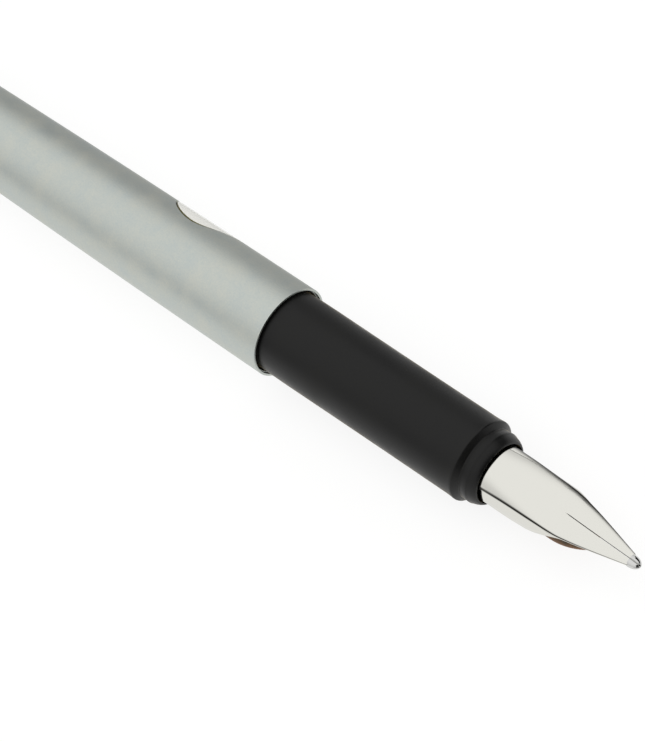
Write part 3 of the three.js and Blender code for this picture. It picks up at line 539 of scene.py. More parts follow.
for rings in half_rings.values():
    last = len(rings[0]) - 1
    for one, other, x in zip(rings, rings[1:], nib_places):
        for k in range(last + 1):
            if k < last or x > slit_start:
                faces.append([one[k], one[(k + 1) % (last + 1)], other[(k + 1) % (last + 1)], other[k]])
                face_materials.append(1 if k == last else 0)
    for end in (rings[0], rings[-1]):
        faces += [[end[k], end[k + 1], end[last - k - 1], end[last - k]] for k in range(last // 2)]
        face_materials += [0] * (last // 2)
nib = make_piece("steel_nib", points, faces, polished_steel)
# The faces in the slit take the painted slit shade.
nib.data.materials.append(cut_steel)
# The painted crease shade is stored on the points as the crease attribute.
nib.data.attributes.new("crease", "FLOAT", "POINT").data.foreach_set("value", crease_shade_values)
for face, number in zip(nib.data.polygons, face_materials):
    face.material_index = number
settle(nib.data, 50)
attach(nib, "section")
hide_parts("nib")

# ---------------------------------------------------------------- writing tip
# A ball of hard alloy welded to the ends of the tines, slit with them, and ground and polished
# to write smoothly.

# Tipping alloy, ground and polished: a colder, slightly darker mirror than the steel.
tipping_alloy, tree, surface, where = start_material("Tipping alloy, ground", "#d6d6d4", 0.07, 1.0)
grinding = add_node(tree, "ShaderNodeTexNoise", {"Vector": where, "Scale": 1 / (0.25 * MM), "Detail": 2.0})
relief = add_node(tree, "ShaderNodeBump", {"Height": grinding, "Strength": 0.3, "Distance": 0.02 * MM})
connect(surface, {"Normal": relief})

TIP_SIDES = 96
TIP_RINGS = 36
TIP_HALF_WIDTH = 0.8
TIP_GROOVE = 0.2
GROOVE_SPREAD = 0.06
tip_low, tip_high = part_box("nib_tip")
_, tip_front, tip_radius = span("nib_tip")
tip_height = ((tip_low.z + tip_high.z) / 2 - AXIS_Z) / MM
weld = nib_front - 0.12         # where the alloy runs up on the ends of the tines
layers = [[place(weld, tip_height)]]
for i in range(TIP_RINGS + 1):
    way = math.pi / 2 * i / TIP_RINGS
    size = max(0.0, 1 - math.sin(way) ** 2.2) ** 0.5
    layer = []
    for k in range(1 if i == TIP_RINGS else TIP_SIDES):
        turn = math.tau * k / TIP_SIDES
        across = TIP_HALF_WIDTH * size * math.sin(turn)
        above = tip_radius * size ** 0.8 * math.cos(turn)
        if above > 0:
            above -= TIP_GROOVE * math.exp(-(across / GROOVE_SPREAD) ** 2) * min(1, 4 * size)
        spot = place(weld + (tip_front - weld) * math.sin(way), tip_height + above)
        layer.append(spot + Vector((0, across * MM, 0)))
    layers.append(layer)
tip = skin_piece("writing_tip", layers, tipping_alloy)
settle(tip.data, 60)
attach(tip, "section")
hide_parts("nib_tip")

# ---------------------------------------------------------------- feed
# Moulded plastic under the nib: a core that follows the nib's underside, and a comb of fins that
# hold spare ink. Ink stains it in blots, and a painted glow turns its lower edge orange brown.
FEED_GAP = 0.35         # from the nib's outer face to the feed
TAIL_RADIUS = 1.7
NOSE_RADIUS = 2.9
NOSE_LENGTH = 4.2
FEED_SIDES = 72
FIN_RISE = 0.9
FIN_ROOT = 0.2          # how far a fin reaches into the core
FIN_ROUND = 0.06
FIN_PITCH = 0.8
FIN_THICKNESS = 0.38
FIN_COUNT = 12
FIN_FROM = math.radians(97)
FIN_STEPS = 30
feed_seat = nib_rear - 9.8
fins_front = grip_front + 8.4
fins_rear = fins_front - FIN_PITCH * FIN_COUNT

# Feed plastic, moulded: dark olive with random blots of ink stain, and a painted glow of orange
# brown towards the lower edge that stands for light shining through the plastic.
GLOW_TOP = 0.4          # heights from the axis between which the painted orange glow sets in
GLOW_LOW = -1.2
feed_plastic, tree, surface, where = start_material("ABS, ink-stained, moulded, painted glow", "#4a3524", 0.5)
stain = add_node(tree, "ShaderNodeTexNoise", {"Vector": where, "Scale": 1 / (0.9 * MM), "Detail": 4.0})
blots = add_node(tree, "ShaderNodeMapRange", {"Value": stain, 1: 0.25, 2: 0.75, 3: 0.0, 4: 0.3})
height = add_node(tree, "ShaderNodeSeparateXYZ", {0: where}).outputs["Z"]
# Painted glow: orange brown that rises towards the lower edge, set by height alone.
painted_glow = add_node(tree, "ShaderNodeMapRange", {
    "Value": height, 1: AXIS_Z + GLOW_TOP * MM, 2: AXIS_Z + GLOW_LOW * MM, 3: 0.0, 4: 0.6})
# The random stain blots plus the painted glow.
stained = add_node(tree, "ShaderNodeMath", {0: blots, 1: painted_glow}, operation="ADD")
tone = add_node(tree, "ShaderNodeMix", {0: stained, 6: linear("#353224"), 7: linear("#a0642c")},
                data_type="RGBA")
relief = add_node(tree, "ShaderNodeBump", {"Height": stain, "Strength": 0.2, "Distance": 0.02 * MM})
connect(surface, {"Base Color": tone.outputs[2], "Normal": relief, "Specular IOR Level": 0.15, "IOR": 1.5})


def feed_core_radius(x):
    """The core's radius: a thin tail, a slimmer stretch behind the fins, and a rounded nose."""
    if x < feed_seat:
        return TAIL_RADIUS
    if fins_rear <= x <= fins_front:
        return feed_radius - FIN_RISE
    into_nose = max(0, x - (feed_front - NOSE_LENGTH)) / NOSE_LENGTH
    return NOSE_RADIUS * (1 - 0.4 * into_nose ** 2)


def feed_ring(x, radius):
    """One ring of the core, kept below the underside of the nib."""
    line = nib_line(x - grip_front)
    crease = line(CREASE_AT)
    ring = []
    for k in range(FEED_SIDES):
        turn = (k + 0.5) * math.tau / FEED_SIDES
        across = radius * math.sin(turn)
        above = radius * math.cos(turn)
        if x > nib_rear and abs(across) < crease.x and above > 0:
            part = min(1, abs(across) / crease.x)
            above = min(above, line(max(CREASE_ROUND, part * CREASE_AT)).y - FEED_GAP)
        ring.append(place(x, above) + Vector((0, across * MM, 0)))
    return ring


feed_steps = [feed_rear, feed_rear + 0.1]
for start, end, count in (
    (feed_seat, fins_rear, 8), (fins_rear, fins_front, 12), (fins_front, feed_front, 20),
):
    feed_steps += [start - 0.01, start + 0.01, *even(start, end, count)[1:-1]]
feed_steps.append(feed_front)
layers = [feed_ring(x, feed_core_radius(x)) for x in feed_steps]
feed = skin_piece("feed_moulding", [[place(feed_rear, 0)], *layers, [place(feed_front, 0)]], feed_plastic)

fin_outline = [(-FIN_THICKNESS / 2, -FIN_RISE - FIN_ROOT), (-FIN_THICKNESS / 2, -FIN_ROUND),
               (-FIN_THICKNESS / 2 + FIN_ROUND, 0), (FIN_THICKNESS / 2 - FIN_ROUND, 0),
               (FIN_THICKNESS / 2, -FIN_ROUND), (FIN_THICKNESS / 2, -FIN_RISE - FIN_ROOT)]
layers = []
for turn in even(FIN_FROM, math.tau - FIN_FROM, FIN_STEPS):
    layers.append([place(fins_rear + x, feed_radius + rise, turn) for x, rise in fin_outline])
fin = skin_piece("feed_fin", layers, feed_plastic, capped=True)

tree, given = start_tree("comb of fins", {
    "Fin": "Object", "Count": "Int", "Pitch": "Float", "Material": "Material",
})
fin_shape = add_node(tree, "GeometryNodeObjectInfo", {"Object": given["Fin"]}).outputs["Geometry"]
step = add_node(tree, "ShaderNodeCombineXYZ", {"X": given["Pitch"]})
comb_line = add_node(tree, "GeometryNodeMeshLine", {
    "Count": given["Count"], "Offset": step, "Start Location": step})
comb = add_node(tree, "GeometryNodeInstanceOnPoints", {"Points": comb_line, "Instance": fin_shape})
whole = add_node(tree, "GeometryNodeJoinGeometry", {0: given["Geometry"]})
connect(whole, {0: comb})
end_tree(tree, whole, given["Material"])
run_tree(feed, tree, {
    "Fin": fin, "Count": FIN_COUNT - 1, "Pitch": FIN_PITCH * MM, "Material": feed_plastic})
bpy.data.objects.remove(fin)
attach(feed, "section")
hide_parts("feed")

# ---------------------------------------------------------------- converter, fixed pieces
# The refillable ink tank: a clear moulded tube, a black plug that grips the nipple, and a plated
# metal ring crimped over the tube's rear end that holds the piston's guide nut.

# Styrene, injection moulded clear: nearly colourless, glossy, with a trace of flow lines.
clear_styrene, tree, surface, where = start_material("Polystyrene, clear moulded", "#f1f5f3", 0.05)
flow = add_node(tree, "ShaderNodeTexNoise", {"Vector": where, "Scale": 1 / (4 * MM), "Detail": 2.0})
relief = add_node(tree, "ShaderNodeBump", {"Height": flow, "Strength": 0.2, "Distance": 0.02 * MM})
connect(surface, {"Normal": relief, "Transmission Weight": 1.0, "IOR": 1.55})

# Nickel plate over turned brass: bright, slightly warm, with fine rings from the lathe.
nickel_plate, tree, surface, where = start_material("Nickel plate on turned brass", "#c9c7c0", 0.18, 1.0)
marks = add_node(tree, "ShaderNodeTexWave", {"Vector": where, "Scale": 0.05 / (0.12 * MM), "Distortion": 0.5},
                 bands_direction="X").outputs["Fac"]
relief = add_node(tree, "ShaderNodeBump", {"Height": marks, "Strength": 0.12, "Distance": 0.008 * MM})
wear = add_node(tree, "ShaderNodeTexNoise", {"Vector": where, "Scale": 1 / (1.2 * MM), "Detail": 4.0})
sheen = add_node(tree, "ShaderNodeMapRange", {"Value": wear, 3: 0.12, 4: 0.26})
connect(surface, {"Roughness": sheen, "Normal": relief})

# Acetal, moulded in its natural white: milky, waxy and half matt.
white_acetal, tree, surface, where = start_material("Acetal, natural white, moulded", "#dcd9d0", 0.42)
milk = add_node(tree, "ShaderNodeTexNoise", {"Vector": where, "Scale": 1 / (1.5 * MM), "Detail": 3.0})
tone = add_node(tree, "ShaderNodeMix", {0: milk, 6: linear("#d5d1c6"), 7: linear("#e3e1d9")},
                data_type="RGBA")
connect(surface, {"Base Color": tone.outputs[2], "IOR": 1.5})

# ABS from a polished mould: deep black with a clear highlight, and a few rubbed patches.
glossy_abs, tree, surface, where = start_material("ABS, black, polished mould", "#121213", 0.16)
rubbed = add_node(tree, "ShaderNodeTexNoise", {"Vector": where, "Scale": 1 / (1.8 * MM), "Detail": 4.0})
sheen = add_node(tree, "ShaderNodeMapRange", {"Value": rubbed, 1: 0.35, 2: 0.7, 3: 0.12, 4: 0.3})
connect(surface, {"Roughness": sheen, "IOR": 1.5})

TUBE_WALL = 0.6
RING_WALL = 0.25
FIT = 0.05
tube_rear, tube_front, tube_radius = span("converter_tube")
ring_rear, ring_front, ring_radius = span("converter_ring")
mouth_rear, mouth_front, mouth_radius = span("converter_mouth")
nut_rear, nut_front, nut_radius = span("piston_nut")
rod_rear, rod_front, rod_radius = span("piston_rod")
tube_bore = tube_radius - TUBE_WALL
tube = turn_piece("ink_tube", [
    (tube_rear, tube_bore), (tube_front, tube_bore), (tube_front, tube_radius), (tube_rear, tube_radius),
], clear_styrene, sides=96)
mouth = turn_piece("nipple_plug", [
    (mouth_rear, nipple_stem + FIT), (mouth_front, nipple_stem + FIT), (mouth_front, mouth_radius),
    (tube_front + FIT, mouth_radius), (tube_front + FIT, tube_bore - FIT), (mouth_rear, tube_bore - FIT),
], glossy_abs, sides=96)
ring_step = tube_rear - FIT
ring = turn_piece("crimp_ring", [
    (ring_rear, tube_radius - RING_WALL), (ring_step, tube_radius - RING_WALL),
    (ring_step, tube_radius + FIT), (ring_front, tube_radius + FIT), (ring_front, ring_radius),
    (ring_front - 1.2, ring_radius), (ring_front - 1.35, ring_radius - 0.12),
    (ring_front - 1.6, ring_radius - 0.12), (ring_front - 1.75, ring_radius),
    (ring_rear + 1.0, ring_radius), (ring_rear + 0.85, ring_radius - 0.12),
    (ring_rear + 0.65, ring_radius - 0.12), (ring_rear + 0.5, ring_radius), (ring_rear, ring_radius),
], nickel_plate, edge=0.06, sides=96)
nut = turn_piece("guide_nut", [
    (nut_rear, rod_radius + FIT), (nut_front, rod_radius + FIT), (nut_front, nut_radius),
    (nut_rear, nut_radius),
], white_acetal, sides=96)
for piece, node, slot in (
    (tube, "converter_tube", "converter_clear"), (mouth, "converter_mouth", "converter_black"),
    (ring, "converter_ring", "bright_plated"), (nut, "piston_nut", "white_plastic"),
):
    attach(piece, "converter")
    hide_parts(node)

# ---------------------------------------------------------------- piston and its rod
# A rubber piston with two lips that wipe the tube's wall, on a white acetal rod that runs back
# through the guide nut to the knob.
seal_end, seal_nose, piston_radius = span("piston_seal")
piston_waist = piston_radius - 0.5
PISTON_LIP = 0.8
piston = turn_piece("piston", [
    (seal_nose, 0), (seal_nose, piston_waist), (seal_nose - 0.6, piston_radius),
    (seal_nose - 0.6 - PISTON_LIP, piston_radius), (seal_nose - 1.0 - PISTON_LIP, piston_waist),
    (seal_end + 0.4 + PISTON_LIP, piston_waist), (seal_end + PISTON_LIP, piston_radius),
    (seal_end, piston_radius), (seal_end, rod_radius + FIT), (rod_front + FIT, rod_radius + FIT),
    (rod_front + FIT, 0),
], rubber, sides=96)
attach(piston, "piston")
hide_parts("piston_seal")
rod = turn_piece("piston_stem", [
    (rod_front, 0), (rod_front, rod_radius), (rod_rear, rod_radius), (rod_rear, 0),
], white_acetal, sides=48)
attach(rod, "piston")
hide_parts("piston_rod")

# ---------------------------------------------------------------- filler knob
# The black ABS knob at the converter's end. Turning it runs the piston up and down; ribs round
# it give the fingers a hold.
KNOB_RIBS = 28
RIB_RISE = 0.22
RIB_ROOT = 0.1              # how far a rib reaches into the knob's body
RIB_HALF_WIDTH = 0.2
KNOB_END_WALL = 2.0
knob_rear, knob_front, knob_radius = span("filler_knob")
knob_body = knob_radius - RIB_RISE
knob_bore = rod_radius + 0.4
knob = turn_piece("knob_moulding", [
    (knob_rear + KNOB_END_WALL, 0), (knob_rear + KNOB_END_WALL, knob_bore), (knob_front, knob_bore),
    (knob_front, knob_radius), (knob_front - 1.0, knob_radius), (knob_front - 1.2, knob_body),
    (knob_rear + 0.7, knob_body), (knob_rear, knob_body - 0.6), (knob_rear, 0),
], glossy_abs, sides=112)
rib_rear = knob_rear + 0.9
rib_front = knob_front - 1.1
layers = []
for x, lift in (
    (rib_rear, 0.0), (rib_rear + 0.25, 0.8), (rib_rear + 0.6, 1.0), (rib_front - 0.6, 1.0),
    (rib_front - 0.25, 0.8), (rib_front, 0.0),
):
    layer = []
    for turn in even(-math.pi / 2, math.pi / 2, 8):
        rise = RIB_RISE * lift * math.cos(turn) - RIB_ROOT
        layer.append(place(x, knob_body + rise, RIB_HALF_WIDTH * math.sin(turn) / knob_body))
    layers.append(layer)
rib = skin_piece("knob_rib", layers, glossy_abs, capped=True)

tree, given = start_tree("ribs round a knob", {
    "Rib": "Object", "Count": "Int", "Angle": "Float", "Axis": "Vector", "Material": "Material",
})
rib_shape = add_node(tree, "GeometryNodeObjectInfo", {"Object": given["Rib"]}).outputs["Geometry"]
spots = add_node(tree, "GeometryNodeMeshLine", {"Count": given["Count"], "Offset": (0, 0, 0)})
copies = add_node(tree, "GeometryNodeInstanceOnPoints", {"Points": spots, "Instance": rib_shape})
number = add_node(tree, "GeometryNodeInputIndex")
turn = add_node(tree, "ShaderNodeMath", {0: number, 1: given["Angle"]}, operation="MULTIPLY")
angles = add_node(tree, "ShaderNodeCombineXYZ", {"X": turn})
ribs_round = add_node(tree, "GeometryNodeRotateInstances", {
    "Instances": copies, "Rotation": angles, "Pivot Point": given["Axis"], "Local Space": False})
whole = add_node(tree, "GeometryNodeJoinGeometry", {0: given["Geometry"]})
connect(whole, {0: ribs_round})
end_tree(tree, whole, given["Material"])
run_tree(knob, tree, {
    "Rib": rib, "Count": KNOB_RIBS, "Angle": math.tau / KNOB_RIBS, "Axis": tuple(place(0, 0)),
    "Material": glossy_abs})
bpy.data.objects.remove(rib)
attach(knob, "knob")
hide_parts("filler_knob")

# ---------------------------------------------------------------- barrel tube
# Aluminium tube drawn to a gentle taper, bead-blasted and anodised, with a teardrop cut through
# its side for the window. Its front lip is turned to a thin bright edge.
BARREL_WALL = 0.38
WINDOW_TURN = math.radians(77)      # from the top of the nib towards the window's side
WINDOW_HALF_WIDTH = 3.77
WINDOW_FLANGE = 0.8                 # hidden rim round the pane
WINDOW_GAP = 0.27
WIDEST_AT = 0.451                   # share of the window's length, from its rear, where it is widest
NEAR_PULL = (0.34, 1.0)             # the curve to the window's point, as shares of reach and width
FAR_PULL = (0.63, 0.58)
barrel_rear, _, barrel_radius = span("barrel_tube")
plug_rear, plug_front, plug_radius = span("barrel_end_plug")
rim_rear, rim_front, _ = span("ink_window")
window_rear = rim_rear + WINDOW_FLANGE
window_front = rim_front - WINDOW_FLANGE
window_widest = window_rear + WIDEST_AT * (window_front - window_rear)

# Aluminium, bead-blasted and clear anodised: a matt, faintly green silver. The blasting leaves
# dimples of about 0.05 mm, drawn at 0.22 mm so that they show, and a soft cloudiness of tone.
anodised, tree, surface, where = start_material("Aluminium, bead-blasted, anodised", "#c6cac4", 0.44, 1.0)
dimples = add_node(tree, "ShaderNodeTexNoise", {"Vector": where, "Scale": 1 / (0.22 * MM), "Detail": 2.0})
clouds = add_node(tree, "ShaderNodeTexNoise", {"Vector": where, "Scale": 1 / (2.6 * MM), "Detail": 3.0})
speckle = add_node(tree, "ShaderNodeMath", {0: dimples, 1: 0.8, 2: -0.4}, operation="MULTIPLY_ADD")
blend = add_node(tree, "ShaderNodeMath", {0: clouds, 1: speckle}, operation="ADD")
tone = add_node(tree, "ShaderNodeMix", {0: blend, 6: linear("#b9c2c1"), 7: linear("#d2d3c9")},
                data_type="RGBA")
sheen = add_node(tree, "ShaderNodeMapRange", {"Value": clouds, 1: 0.3, 2: 0.7, 3: 0.4, 4: 0.48})
relief = add_node(tree, "ShaderNodeBump", {"Height": dimples, "Strength": 0.5, "Distance": 0.03 * MM})
connect(surface, {"Base Color": tone.outputs[2], "Roughness": sheen, "Normal": relief})

# The barrel and its window are drawn flat, as way along, turn and depth, and wrapped by a rule.
tree, given = start_tree("wrap round the taper", {
    "Lip": "Vector", "Front Radius": "Float", "Drop": "Float", "Length": "Float", "Material": "Material",
})
drawn = add_node(tree, "GeometryNodeInputPosition")
flat = add_node(tree, "ShaderNodeSeparateXYZ", {0: drawn}).outputs
way = add_node(tree, "ShaderNodeMath", {0: flat["X"], 1: given["Length"]}, operation="DIVIDE")
curve = add_node(tree, "ShaderNodeMath", {0: way, 1: way}, operation="MULTIPLY")
lost = add_node(tree, "ShaderNodeMath", {0: curve, 1: given["Drop"], 2: flat["Z"]}, operation="MULTIPLY_ADD")
radius = add_node(tree, "ShaderNodeMath", {0: given["Front Radius"], 1: lost}, operation="SUBTRACT")
sine = add_node(tree, "ShaderNodeMath", {0: flat["Y"]}, operation="SINE")
cosine = add_node(tree, "ShaderNodeMath", {0: flat["Y"]}, operation="COSINE")
outwards = add_node(tree, "ShaderNodeCombineXYZ", {"Y": sine, "Z": cosine})
along = add_node(tree, "ShaderNodeCombineXYZ", {"X": flat["X"]})
on_axis = add_node(tree, "ShaderNodeVectorMath", {0: along, 1: given["Lip"]}, operation="ADD")
wrapped = add_node(tree, "ShaderNodeVectorMath", {0: outwards, 1: radius, 2: on_axis},
                   operation="MULTIPLY_ADD")
moved = add_node(tree, "GeometryNodeSetPosition", {"Geometry": given["Geometry"], "Position": wrapped})
end_tree(tree, moved, given["Material"])
wrap_tree = tree        # the window's pane is wrapped by the same rule
wrap_sizes = {
    "Lip": tuple(place(0, 0)), "Front Radius": barrel_radius * MM,
    "Drop": (barrel_radius - plug_radius) * MM, "Length": -barrel_rear * MM,
}


def window_edge(way_round, margin):
    """A point on the teardrop, grown by a margin, as (x, turn): 0 at its point, 1 at its rear."""
    half_width = WINDOW_HALF_WIDTH + margin
    part = abs(way_round) * 2
    if part <= 1:
        reach = window_front - window_widest
        pulls = [(1 + margin / reach, 0), FAR_PULL, NEAR_PULL, (0, 1)]
        shares = [(1 - part) ** 3, 3 * part * (1 - part) ** 2, 3 * part ** 2 * (1 - part), part ** 3]
        x = window_widest + reach * sum(share * pull[0] for share, pull in zip(shares, pulls))
        width = half_width * sum(share * pull[1] for share, pull in zip(shares, pulls))
    else:
        turn = (part - 1) * math.pi / 2
        x = window_widest - (window_widest - window_rear + margin) * math.sin(turn)
        width = half_width * math.cos(turn)
    return x, WINDOW_TURN + math.copysign(math.asin(width / barrel_radius), way_round)


BARREL_COLUMNS = 144
PATCH_COLUMNS = 24                  # columns on each side of the window's middle in its patch
PATCH_ROWS = 24
FRONT_ROWS = 6                      # rows of the barrel in front of the patch and behind it
REAR_ROWS = 30
PATCH_STEPS = 9                     # rings from the patch's border in to the window
PATCH_MARGIN = 2.2
LIP_ROUND = 0.05
LIP_WALL = 0.3                      # the tube is bored out thinner at its very front
LIP_BORE = 0.43                     # how far back that thinner stretch runs
patch_front = window_front + PATCH_MARGIN
patch_rear = window_rear - PATCH_MARGIN
rows = even(-0.5, patch_front, FRONT_ROWS)[:-1] + even(patch_front, patch_rear, PATCH_ROWS)[:-1]
rows += even(patch_rear, barrel_rear, REAR_ROWS)
first_patch_row = FRONT_ROWS
last_patch_row = FRONT_ROWS + PATCH_ROWS
column_step = math.tau / BARREL_COLUMNS


def patch_border():
    """Row and column of each point round the window's patch, from the middle of its front side."""
    half = PATCH_COLUMNS
    border = [(first_patch_row, column) for column in range(0, half)]
    border += [(row, half) for row in range(first_patch_row, last_patch_row)]
    border += [(last_patch_row, column) for column in range(half, -half, -1)]
    border += [(row, -half) for row in range(last_patch_row, first_patch_row, -1)]
    border += [(first_patch_row, column) for column in range(-half, 0)]
    return border


def way_towards(row, column):
    """How far round the teardrop the line from its middle to a border point crosses it."""
    aim = math.atan2(abs(column) * column_step * barrel_radius, rows[row] - window_widest)
    low, high = 0.0, 1.0
    for _ in range(30):
        middle = (low + high) / 2
        x, turn = window_edge(middle, 0)
        if math.atan2((turn - WINDOW_TURN) * barrel_radius, x - window_widest) < aim:
            low = middle
        else:
            high = middle
    return low if column >= 0 else -low


border = patch_border()
ways_round = [way_towards(row, column) for row, column in border]
flat_points = []
faces = []


def add_flat(x, turn, depth):
    """Adds a point of the flat drawing and returns its number."""
    flat_points.append((x * MM, turn, depth * MM))
    return len(flat_points) - 1


def from_middle(column):
    """A column's number counted from the window's middle, below 0 on one side of it."""
    return (column + BARREL_COLUMNS // 2) % BARREL_COLUMNS - BARREL_COLUMNS // 2


def add_sheet(depth):
    """One face of the tube's wall with the patch left out; returns its rows of points."""
    grid = []
    for row, x in enumerate(rows):
        ring = []
        for column in map(from_middle, range(BARREL_COLUMNS)):
            inside = first_patch_row < row < last_patch_row and abs(column) < PATCH_COLUMNS
            ring.append(None if inside else add_flat(x, WINDOW_TURN + column * column_step, depth))
        grid.append(ring)
    for row, (one, other) in enumerate(zip(grid, grid[1:])):
        for column in range(BARREL_COLUMNS):
            beside_window = -PATCH_COLUMNS <= from_middle(column) < PATCH_COLUMNS
            if not (beside_window and first_patch_row <= row < last_patch_row):
                beyond = (column + 1) % BARREL_COLUMNS
                faces.append([one[column], one[beyond], other[beyond], other[column]])
    return grid


def add_patch(grid, depth, margin):
    """Rings from the patch's border in to the teardrop; returns the innermost."""
    ring = [grid[row][column] for row, column in border]
    for step in range(1, PATCH_STEPS + 1):
        share = 1 - (1 - step / PATCH_STEPS) ** 1.6
        inner = []
        for (row, column), way_round in zip(border, ways_round):
            start = Vector((rows[row], WINDOW_TURN + column * column_step))
            inner.append(add_flat(*start.lerp(Vector(window_edge(way_round, margin)), share), depth))
        faces.extend(join_rings([ring, inner]))
        ring = inner
    return ring


outer_grid = add_sheet(0)
inner_grid = add_sheet(BARREL_WALL)
edge_rings = [add_patch(outer_grid, 0, LIP_ROUND)]
for margin, depth in ((0.3 * LIP_ROUND, 0.3 * LIP_ROUND), (0, LIP_ROUND)):
    edge_rings.append([add_flat(*window_edge(way_round, margin), depth) for way_round in ways_round])
edge_rings.append(add_patch(inner_grid, BARREL_WALL, 0))
lip_rings = [outer_grid[0]]
for x, depth in (
    (-1.5 * LIP_ROUND, 0), (-LIP_ROUND, 0), (-0.3 * LIP_ROUND, 0.3 * LIP_ROUND), (0, LIP_ROUND),
    (0, LIP_WALL - 0.03), (-0.03, LIP_WALL), (0.01 - LIP_BORE, LIP_WALL), (-0.01 - LIP_BORE, BARREL_WALL),
):
    lip_rings.append([add_flat(x, WINDOW_TURN + c * column_step, depth) for c in range(BARREL_COLUMNS)])
lip_rings.append(inner_grid[0])
faces += join_rings(edge_rings) + join_rings(lip_rings) + join_rings([outer_grid[-1], inner_grid[-1]])
barrel = make_piece("barrel_shell", flat_points, faces, anodised)
run_tree(barrel, wrap_tree, {**wrap_sizes, "Material": anodised})
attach(barrel, "barrel")
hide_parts("barrel_tube")

# ---------------------------------------------------------------- ink window
# A clear acrylic pane, flush with the barrel and held from inside by a rim wider than the
# cut-out. The ink in the converter is read through it.

# Acrylic, moulded and polished: clear, faintly warm, glossy on both faces.
window_acrylic, tree, surface, where = start_material("Acrylic, clear moulded", "#fbfaf4", 0.12)
ripple = add_node(tree, "ShaderNodeTexNoise", {"Vector": where, "Scale": 1 / (3 * MM), "Detail": 2.0})
relief = add_node(tree, "ShaderNodeBump", {"Height": ripple, "Strength": 0.15, "Distance": 0.02 * MM})
connect(surface, {"Normal": relief, "Transmission Weight": 0.12, "IOR": 1.49})

# The pane's edge as the mould left it: dull, and painted dark olive with random mottling: a painted shade for
# the joint round the pane.
joint_shade_edge, tree, surface, where = start_material("Acrylic edge, painted joint shade", "#6b6747", 0.6)
dust = add_node(tree, "ShaderNodeTexNoise", {"Vector": where, "Scale": 1 / (0.5 * MM), "Detail": 3.0})
tone = add_node(tree, "ShaderNodeMix", {0: dust, 6: linear("#6b6645"), 7: linear("#969069")},
                data_type="RGBA")
connect(surface, {"Base Color": tone.outputs[2], "IOR": 1.5})

PANE_WALL = 0.6
PANE_STEPS = 8              # rings from the middle of a face of the pane to its edge
PANE_SIDES = 72
PANE_BEVEL = 0.12
pane_ways = even(-1, 1, PANE_SIDES)[1:]
under_barrel = BARREL_WALL + WINDOW_GAP
flat_points = []


def pane_ring(margin, depth, share=1):
    """A ring round the pane, drawn in to a share of its way from the middle."""
    middle = Vector((window_widest, WINDOW_TURN))
    edge = [Vector(window_edge(way_round, margin)) for way_round in pane_ways]
    return [add_flat(*middle.lerp(spot, share), depth) for spot in edge]


def pane_face(margin, depth):
    """The rings that fill one face of the pane, from its middle out."""
    middle = [add_flat(window_widest, WINDOW_TURN, depth)]
    return [middle] + [pane_ring(margin, depth, share) for share in even(0, 1, PANE_STEPS)[1:-1]]


rings = pane_face(-WINDOW_GAP - PANE_BEVEL, 0)
for margin, depth in (
    (-WINDOW_GAP - PANE_BEVEL, 0), (-WINDOW_GAP - 0.08, 0), (-WINDOW_GAP - 0.025, 0.025),
    (-WINDOW_GAP, 0.08), (-WINDOW_GAP, under_barrel), (WINDOW_FLANGE - 0.05, under_barrel),
    (WINDOW_FLANGE - 0.05, under_barrel + PANE_WALL), (-WINDOW_GAP, under_barrel + PANE_WALL),
):
    rings.append(pane_ring(margin, depth))
rings += pane_face(-WINDOW_GAP, under_barrel + PANE_WALL)[::-1]
pane = make_piece("window_pane", flat_points, join_rings(rings), window_acrylic)
run_tree(pane, wrap_tree, {**wrap_sizes, "Material": window_acrylic})
pane.data.materials.append(joint_shade_edge)
edge_ring = PANE_STEPS + 3      # the ring where the pane's face ends and its edge and rim begin
# The pane's edge and rim take the painted joint shade.
for face in pane.data.polygons[edge_ring * PANE_SIDES:(edge_ring + 2) * PANE_SIDES]:
    face.material_index = 1
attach(pane, "barrel")
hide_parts("ink_window")

# ---------------------------------------------------------------- thread insert in the barrel
# A turned brass bush pressed into the barrel's mouth. Its inner thread takes the section's.
female_root = insert_radius - INSERT_WALL
insert = turn_piece("thread_bush", [
    (insert_rear, insert_radius), (insert_rear, female_root),
    *stations(thread_rear, thread_front, female_root), (insert_front, female_root),
    (insert_front, insert_radius),
], turned_brass, edge=0.15, sides=96)
run_tree(insert, thread_tree, {
    **thread_sizes, "Height": -THREAD_HEIGHT * MM, "Root Radius": female_root * MM})
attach(insert, "barrel")
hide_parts("barrel_thread_insert")

# ---------------------------------------------------------------- barrel end plug
# A turned aluminium plug pressed into the rear of the tube and anodised with it. Its rounded edge
# leaves a fine line at the joint.
PLUG_SPIGOT = 4.5
PLUG_BEVEL = 0.6
plug_spigot_radius = plug_radius - BARREL_WALL - FIT
plug_head = plug_front - PLUG_SPIGOT
plug = turn_piece("end_plug", [
    (plug_front, 0), (plug_front, plug_spigot_radius), (plug_head, plug_spigot_radius),
    (plug_head, plug_radius), (plug_rear + PLUG_BEVEL, plug_radius), (plug_rear, plug_radius - PLUG_BEVEL),
    (plug_rear, 0),
], anodised, sides=128)
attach(plug, "barrel")
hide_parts("barrel_end_plug")

# ---------------------------------------------------------------- cap tube
# A drawn aluminium tube, blasted and anodised with the barrel, pushed over the barrel's rear end.
# A slot near its end lets the clip's root through.
CAP_WALL = 0.36
CLIP_WIDTH = 3.6
CLIP_THICKNESS = 0.8
SLOT_GAP = 0.3
cap_rear, cap_front, _ = span("cap_tube")
cap_radius = barrel_radius
liner_rear, liner_front, liner_radius = span("inner_cap")
hinge = next(joint["pos_m"] for joint in frame["joints"] if joint["name"] == "clip_flex")
clip_turn = math.atan2(hinge[1] - AXIS_Y, hinge[2] - AXIS_Z)
root_middle = (hinge[0] - LIP) / MM


